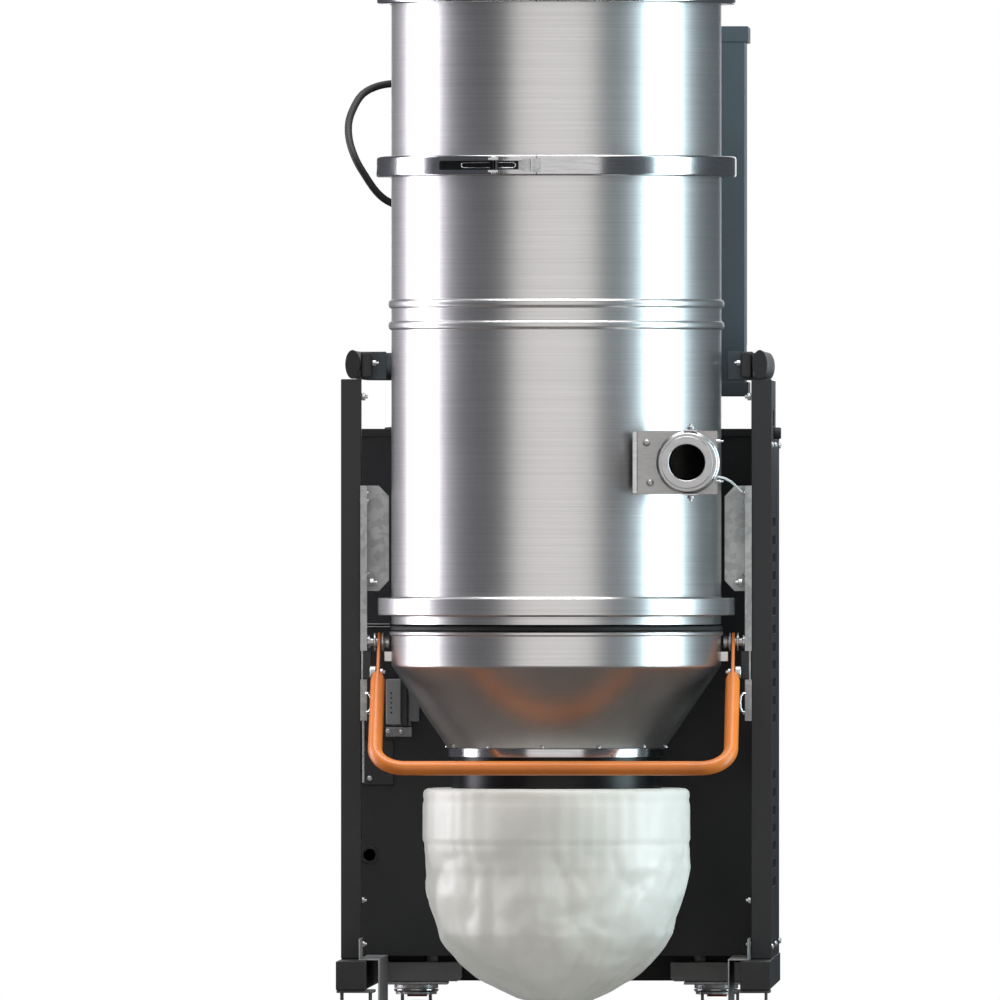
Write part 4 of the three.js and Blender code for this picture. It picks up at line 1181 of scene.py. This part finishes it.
def makeCupboardDetails():
    low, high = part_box("electrical_cupboard")
    for name, bottom, top in (("Top", high[2] - 0.021, high[2]), ("Foot", low[2], low[2] + 0.019)):
        boxPiece(f"cupboardCap{name}", (low[0] - 0.0012, low[1] - 0.0012, bottom - 0.0002),
                 (high[0] + 0.0012, high[1] - 0.001, top + 0.0008), cupboardCoat,
                 bevel=0.0012)
    switchLow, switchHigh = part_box("main_switch")
    x, z = (switchLow[0] + switchHigh[0]) / 2, (switchLow[2] + switchHigh[2]) / 2
    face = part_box("cupboard_door")[1][1]
    escutcheon = [(0.0250, 0.0), (0.0330, 0.0), (0.0340, 0.0010), (0.0325, 0.0024), (0.0250, 0.0024)]
    turnedPiece("switchPlate", escutcheon, (x, face + 0.0002, z), yellowMould, "cupboard_door", "Y", 64)
    for name in ("start", "stop"):
        bx, _, bz = middle(f"{name}_button")
        bezel = [(0.0118, 0.0), (0.0155, 0.0), (0.0160, 0.0010), (0.0145, 0.0032), (0.0118, 0.0032)]
        turnedPiece(f"{name}Bezel", bezel, (bx, face + 0.0002, bz), blackGloss, "cupboard_door", "Y", 48)
    lamp = [(0.0, 0.0), (0.0105, 0.0), (0.0110, 0.0012), (0.0095, 0.0044), (0.006, 0.0062), (0.0, 0.0068)]
    turnedPiece("powerLamp", lamp, (x, face + 0.0002, z + cupboardPlan["lampRise"]), yellowMould,
                "cupboard_door", "Y", 40)
    doorLow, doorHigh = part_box("cupboard_door")
    for k, height in enumerate((doorLow[2] + cupboardPlan["hingeInset"],
                                doorHigh[2] - cupboardPlan["hingeInset"])):
        barrel = [(0.0, 0.0), (0.0042, 0.0), (0.0046, 0.0006), (0.0046, 0.0394), (0.0042, 0.040),
                  (0.0, 0.040)]
        turnedPiece(f"doorHinge{k}", barrel, (doorLow[0] - 0.0050, face - 0.001, height - 0.02), zincPlate,
                    "cupboard_door", "Z", 24)
    lock = [(0.0, 0.0), (0.0088, 0.0), (0.0094, 0.0008), (0.0086, 0.0036), (0.0032, 0.0036),
            (0.0032, 0.0016), (0, 0.0016)]
    turnedPiece("doorLock", lock, (doorHigh[0] - cupboardPlan["lockInset"], face + 0.0002,
                                   (doorLow[2] + doorHigh[2]) / 2), zincPlate,
                "cupboard_door", "Y", 40)


makeCabinetDetails()
makeConnector()
makeCupboardDetails()

# castors
print("stage: castors")
wheelPlan = {"radius": 0.050, "half": 0.017}


def makeWheel(node, body):
    x, y, z = middle(node)
    half, radius = wheelPlan["half"], wheelPlan["radius"]
    tyre = [(0.036, -half + 0.002), (0.040, -half + 0.0012), (0.0455, -half)]
    tyre += [(0.0485, -half + 0.0022), (0.0497, -half + 0.006), (0.05, -0.006), (0.05, 0.006),
             (0.0497, half - 0.006),
             (0.0485, half - 0.0022), (0.0455, half), (0.040, half - 0.0012), (0.036, half - 0.002)]
    turnedPiece(f"{body}_tyre", tyre, (x, y, z), tyreRubber, body, "X", 64, (node,))
    hub = [(0.0063, -half), (0.014, -half), (0.015, -half + 0.001), (0.016, -half + 0.006),
           (0.031, -half + 0.0065),
           (0.0325, -half + 0.002), (0.0362, -half + 0.0018), (0.0362, half - 0.0018), (0.0325, half - 0.002),
           (0.031, half - 0.0065), (0.016, half - 0.006), (0.015, half - 0.001), (0.014, half),
           (0.0063, half)]
    bm = bmesh.new()
    turnedMesh(bm, hub, (x, y, z), "X", 48)
    for k in range(6):
        start = set(bm.verts)
        for face in (-1, 1):
            low, high = sorted((face * (half - 0.0068), face * (half - 0.0025)))
            boxMesh(bm, (low, -0.002, 0.0145), (high, 0.002, 0.0325), 0.0006, 1)
        fresh = [vert for vert in bm.verts if vert not in start]
        turn = Matrix.Translation((x, y, z)) @ Matrix.Rotation(math.radians(60 * k), 4, "X")
        bmesh.ops.transform(bm, matrix=turn, verts=fresh)
    finishPiece(bm, f"{body}_hub", greyMould, body)


for side, sign in (("left", -1), ("right", 1)):
    makeWheel(f"front_castor_wheel_{side}", f"front_wheel_{side}")
    makeWheel(f"rear_castor_wheel_{side}", f"rear_wheel_{side}")
    softCopy(f"front_castor_bracket_{side}", greyMould, 0.0008)
    softCopy(f"rear_castor_plate_{side}", zincPlate, 0.0008)
    softCopy(f"rear_castor_fork_{side}", zincPlate, 0.0008)
    x, y, _ = middle(f"rear_castor_plate_{side}")
    # pressed bearing races under the plate
    races = [(0.010, 0.1118), (0.0285, 0.1118), (0.0305, 0.1128), (0.0318, 0.1148), (0.0318, 0.1158),
             (0.010, 0.1168)]
    turnedPiece(f"rearRace_{side}", races, (x, y, 0.0002), polishedSteel, "frame", "Z", 48)

# leads and pipe
print("stage: lead and suction pipe")
controlLead = [
    (-120.5, 285, 1386), (-150, 285, 1388), (-188, 279, 1391), (-224, 261, 1392), (-254, 232, 1388),
    (-276, 196, 1376),
    (-288, 162, 1356), (-294, 125, 1332), (-291, 96, 1306), (-281, 80, 1280), (-268, 84, 1258),
    (-256, 104, 1240),
    (-244, 130, 1228), (-231, 155, 1221), (-216, 180, 1217),
]


def smoothRoute(points, steps):
    # a centripetal curve through the points, the same kind that the solid follows
    ends = [2 * points[0] - points[1]] + points + [2 * points[-1] - points[-2]]
    route = []
    for a, b, c, d in zip(ends, ends[1:], ends[2:], ends[3:]):
        knots = [0.0]
        for p, q in ((a, b), (b, c), (c, d)):
            knots.append(knots[-1] + math.sqrt((q - p).length))
        t0, t1, t2, t3 = knots
        for k in range(steps):
            t = t1 + (t2 - t1) * k / steps
            e = a * ((t1 - t) / (t1 - t0)) + b * ((t - t0) / (t1 - t0))
            f = b * ((t2 - t) / (t2 - t1)) + c * ((t - t1) / (t2 - t1))
            g = c * ((t3 - t) / (t3 - t2)) + d * ((t - t2) / (t3 - t2))
            h = e * ((t2 - t) / (t2 - t0)) + f * ((t - t0) / (t2 - t0))
            m = f * ((t3 - t) / (t3 - t1)) + g * ((t - t1) / (t3 - t1))
            route.append(h * ((t2 - t) / (t2 - t1)) + m * ((t - t1) / (t2 - t1)))
    return route + [points[-1]]


leadPlan = {"radius": 0.0052, "steps": 6, "cupboardFront": 0.262}


def makeLead():
    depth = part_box("electrical_cupboard")[0][1] - leadPlan["cupboardFront"]
    points = [Vector((x * mm, y * mm + depth, z * mm)) for x, y, z in controlLead]
    route = smoothRoute(points, leadPlan["steps"])
    lead = tubePiece("controlLead", route, leadPlan["radius"], blackRubber, "frame",
                     ("control_lead",))
    gland = [(0.0056, 0.0), (0.0075, 0.0), (0.0092, -0.004), (0.0098, -0.010), (0.0098, -0.016),
             (0.0056, -0.016)]
    spot = points[0]
    turnedPiece("leadGland", [(r, -h) for r, h in gland], (spot.x - 0.0158, spot.y, spot.z), blackRubber,
                "frame", "X",
                32)


pipePlan = {"outletX": -0.130, "cabinetX": -0.200, "radius": 0.0368, "bend": 0.060, "bands": (0.275, 0.290)}


def makePipe():
    collarZ = lidLow[2] + 0.055
    depth = drumY
    corners = [(pipePlan["outletX"], depth + 0.269, collarZ), (pipePlan["outletX"], depth + 0.345, collarZ),
               (pipePlan["cabinetX"], depth + 0.345, 1.400),
               (pipePlan["cabinetX"], depth + 0.520, 1.180), (pipePlan["cabinetX"], depth + 0.520, 0.640)]
    path = []
    vectors = [Vector(c) for c in corners]
    radius = pipePlan["bend"]
    path.append(vectors[0])
    for before, corner, after in zip(vectors, vectors[1:], vectors[2:]):
        first = corner + (before - corner).normalized() * radius
        last = corner + (after - corner).normalized() * radius
        for k in range(11):
            t = k / 10
            path.append(first * (1 - t) ** 2 + corner * 2 * t * (1 - t) + last * t * t)
    path.append(vectors[-1])
    tubePiece("suctionPipe", path, pipePlan["radius"], darkCoat, "frame", ("suction_pipe",))
    sleeve = [(0.0372, 0.0), (0.0408, 0.0), (0.0414, 0.001), (0.0414, 0.029), (0.0408, 0.030),
              (0.0372, 0.030)]
    turnedPiece("pipeSleeve", sleeve, (pipePlan["outletX"], depth + 0.272, collarZ), blackRubber, "frame",
                "Y", 48)
    band = [(0.0415, 0.0), (0.0424, 0.0), (0.0424, 0.009), (0.0415, 0.009)]
    for k, offset in enumerate(pipePlan["bands"]):
        turnedPiece(f"pipeBand{k}", band, (pipePlan["outletX"], depth + offset, collarZ), polishedSteel,
                    "frame", "Y", 48)


makeLead()
makePipe()

# filter cartridge, seen only from inside
print("stage: filter")


filterPlan = {"pleats": 90, "outer": 0.1385, "inner": 0.116, "cloth": 0.0008}


def makeFilter():
    low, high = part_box("filter_cartridge")
    bm = bmesh.new()
    pleats = filterPlan["pleats"]
    points = []
    for k in range(pleats * 2):
        angle = math.pi * k / pleats
        radius = filterPlan["outer"] if k % 2 else filterPlan["inner"]
        points.append(bm.verts.new((drumX + radius * math.cos(angle), drumY + radius * math.sin(angle),
                                    low[2] + 0.012)))
    edges = [bm.edges.new((points[k], points[(k + 1) % len(points)])) for k in range(len(points))]
    made = bmesh.ops.extrude_edge_only(bm, edges=edges)
    top = [item for item in made["geom"] if isinstance(item, bmesh.types.BMVert)]
    bmesh.ops.translate(bm, vec=(0, 0, high[2] - low[2] - 0.03), verts=top)
    bmesh.ops.recalc_face_normals(bm, faces=bm.faces[:])
    bmesh.ops.solidify(bm, geom=bm.faces[:], thickness=filterPlan["cloth"])
    finishPiece(bm, "filterPleats", pleatCloth, "frame", ("filter_cartridge",), 20)
    cap = [(0.0, low[2]), (0.138, low[2]), (0.1398, low[2] + 0.002), (0.1398, low[2] + 0.013),
           (0.0, low[2] + 0.013)]
    turnedPiece("filterCap", cap, (drumX, drumY, 0), zincPlate, "frame", "Z", 64)
    collar = [(0.098, high[2] - 0.019), (0.1398, high[2] - 0.019), (0.1398, high[2] - 0.0148),
              (0.1058, high[2] - 0.0145),
              (0.1058, high[2]), (0.098, high[2])]
    turnedPiece("filterCollar", collar, (drumX, drumY, 0), zincPlate, "frame", "Z", 64)


makeFilter()

print("stage: finish")
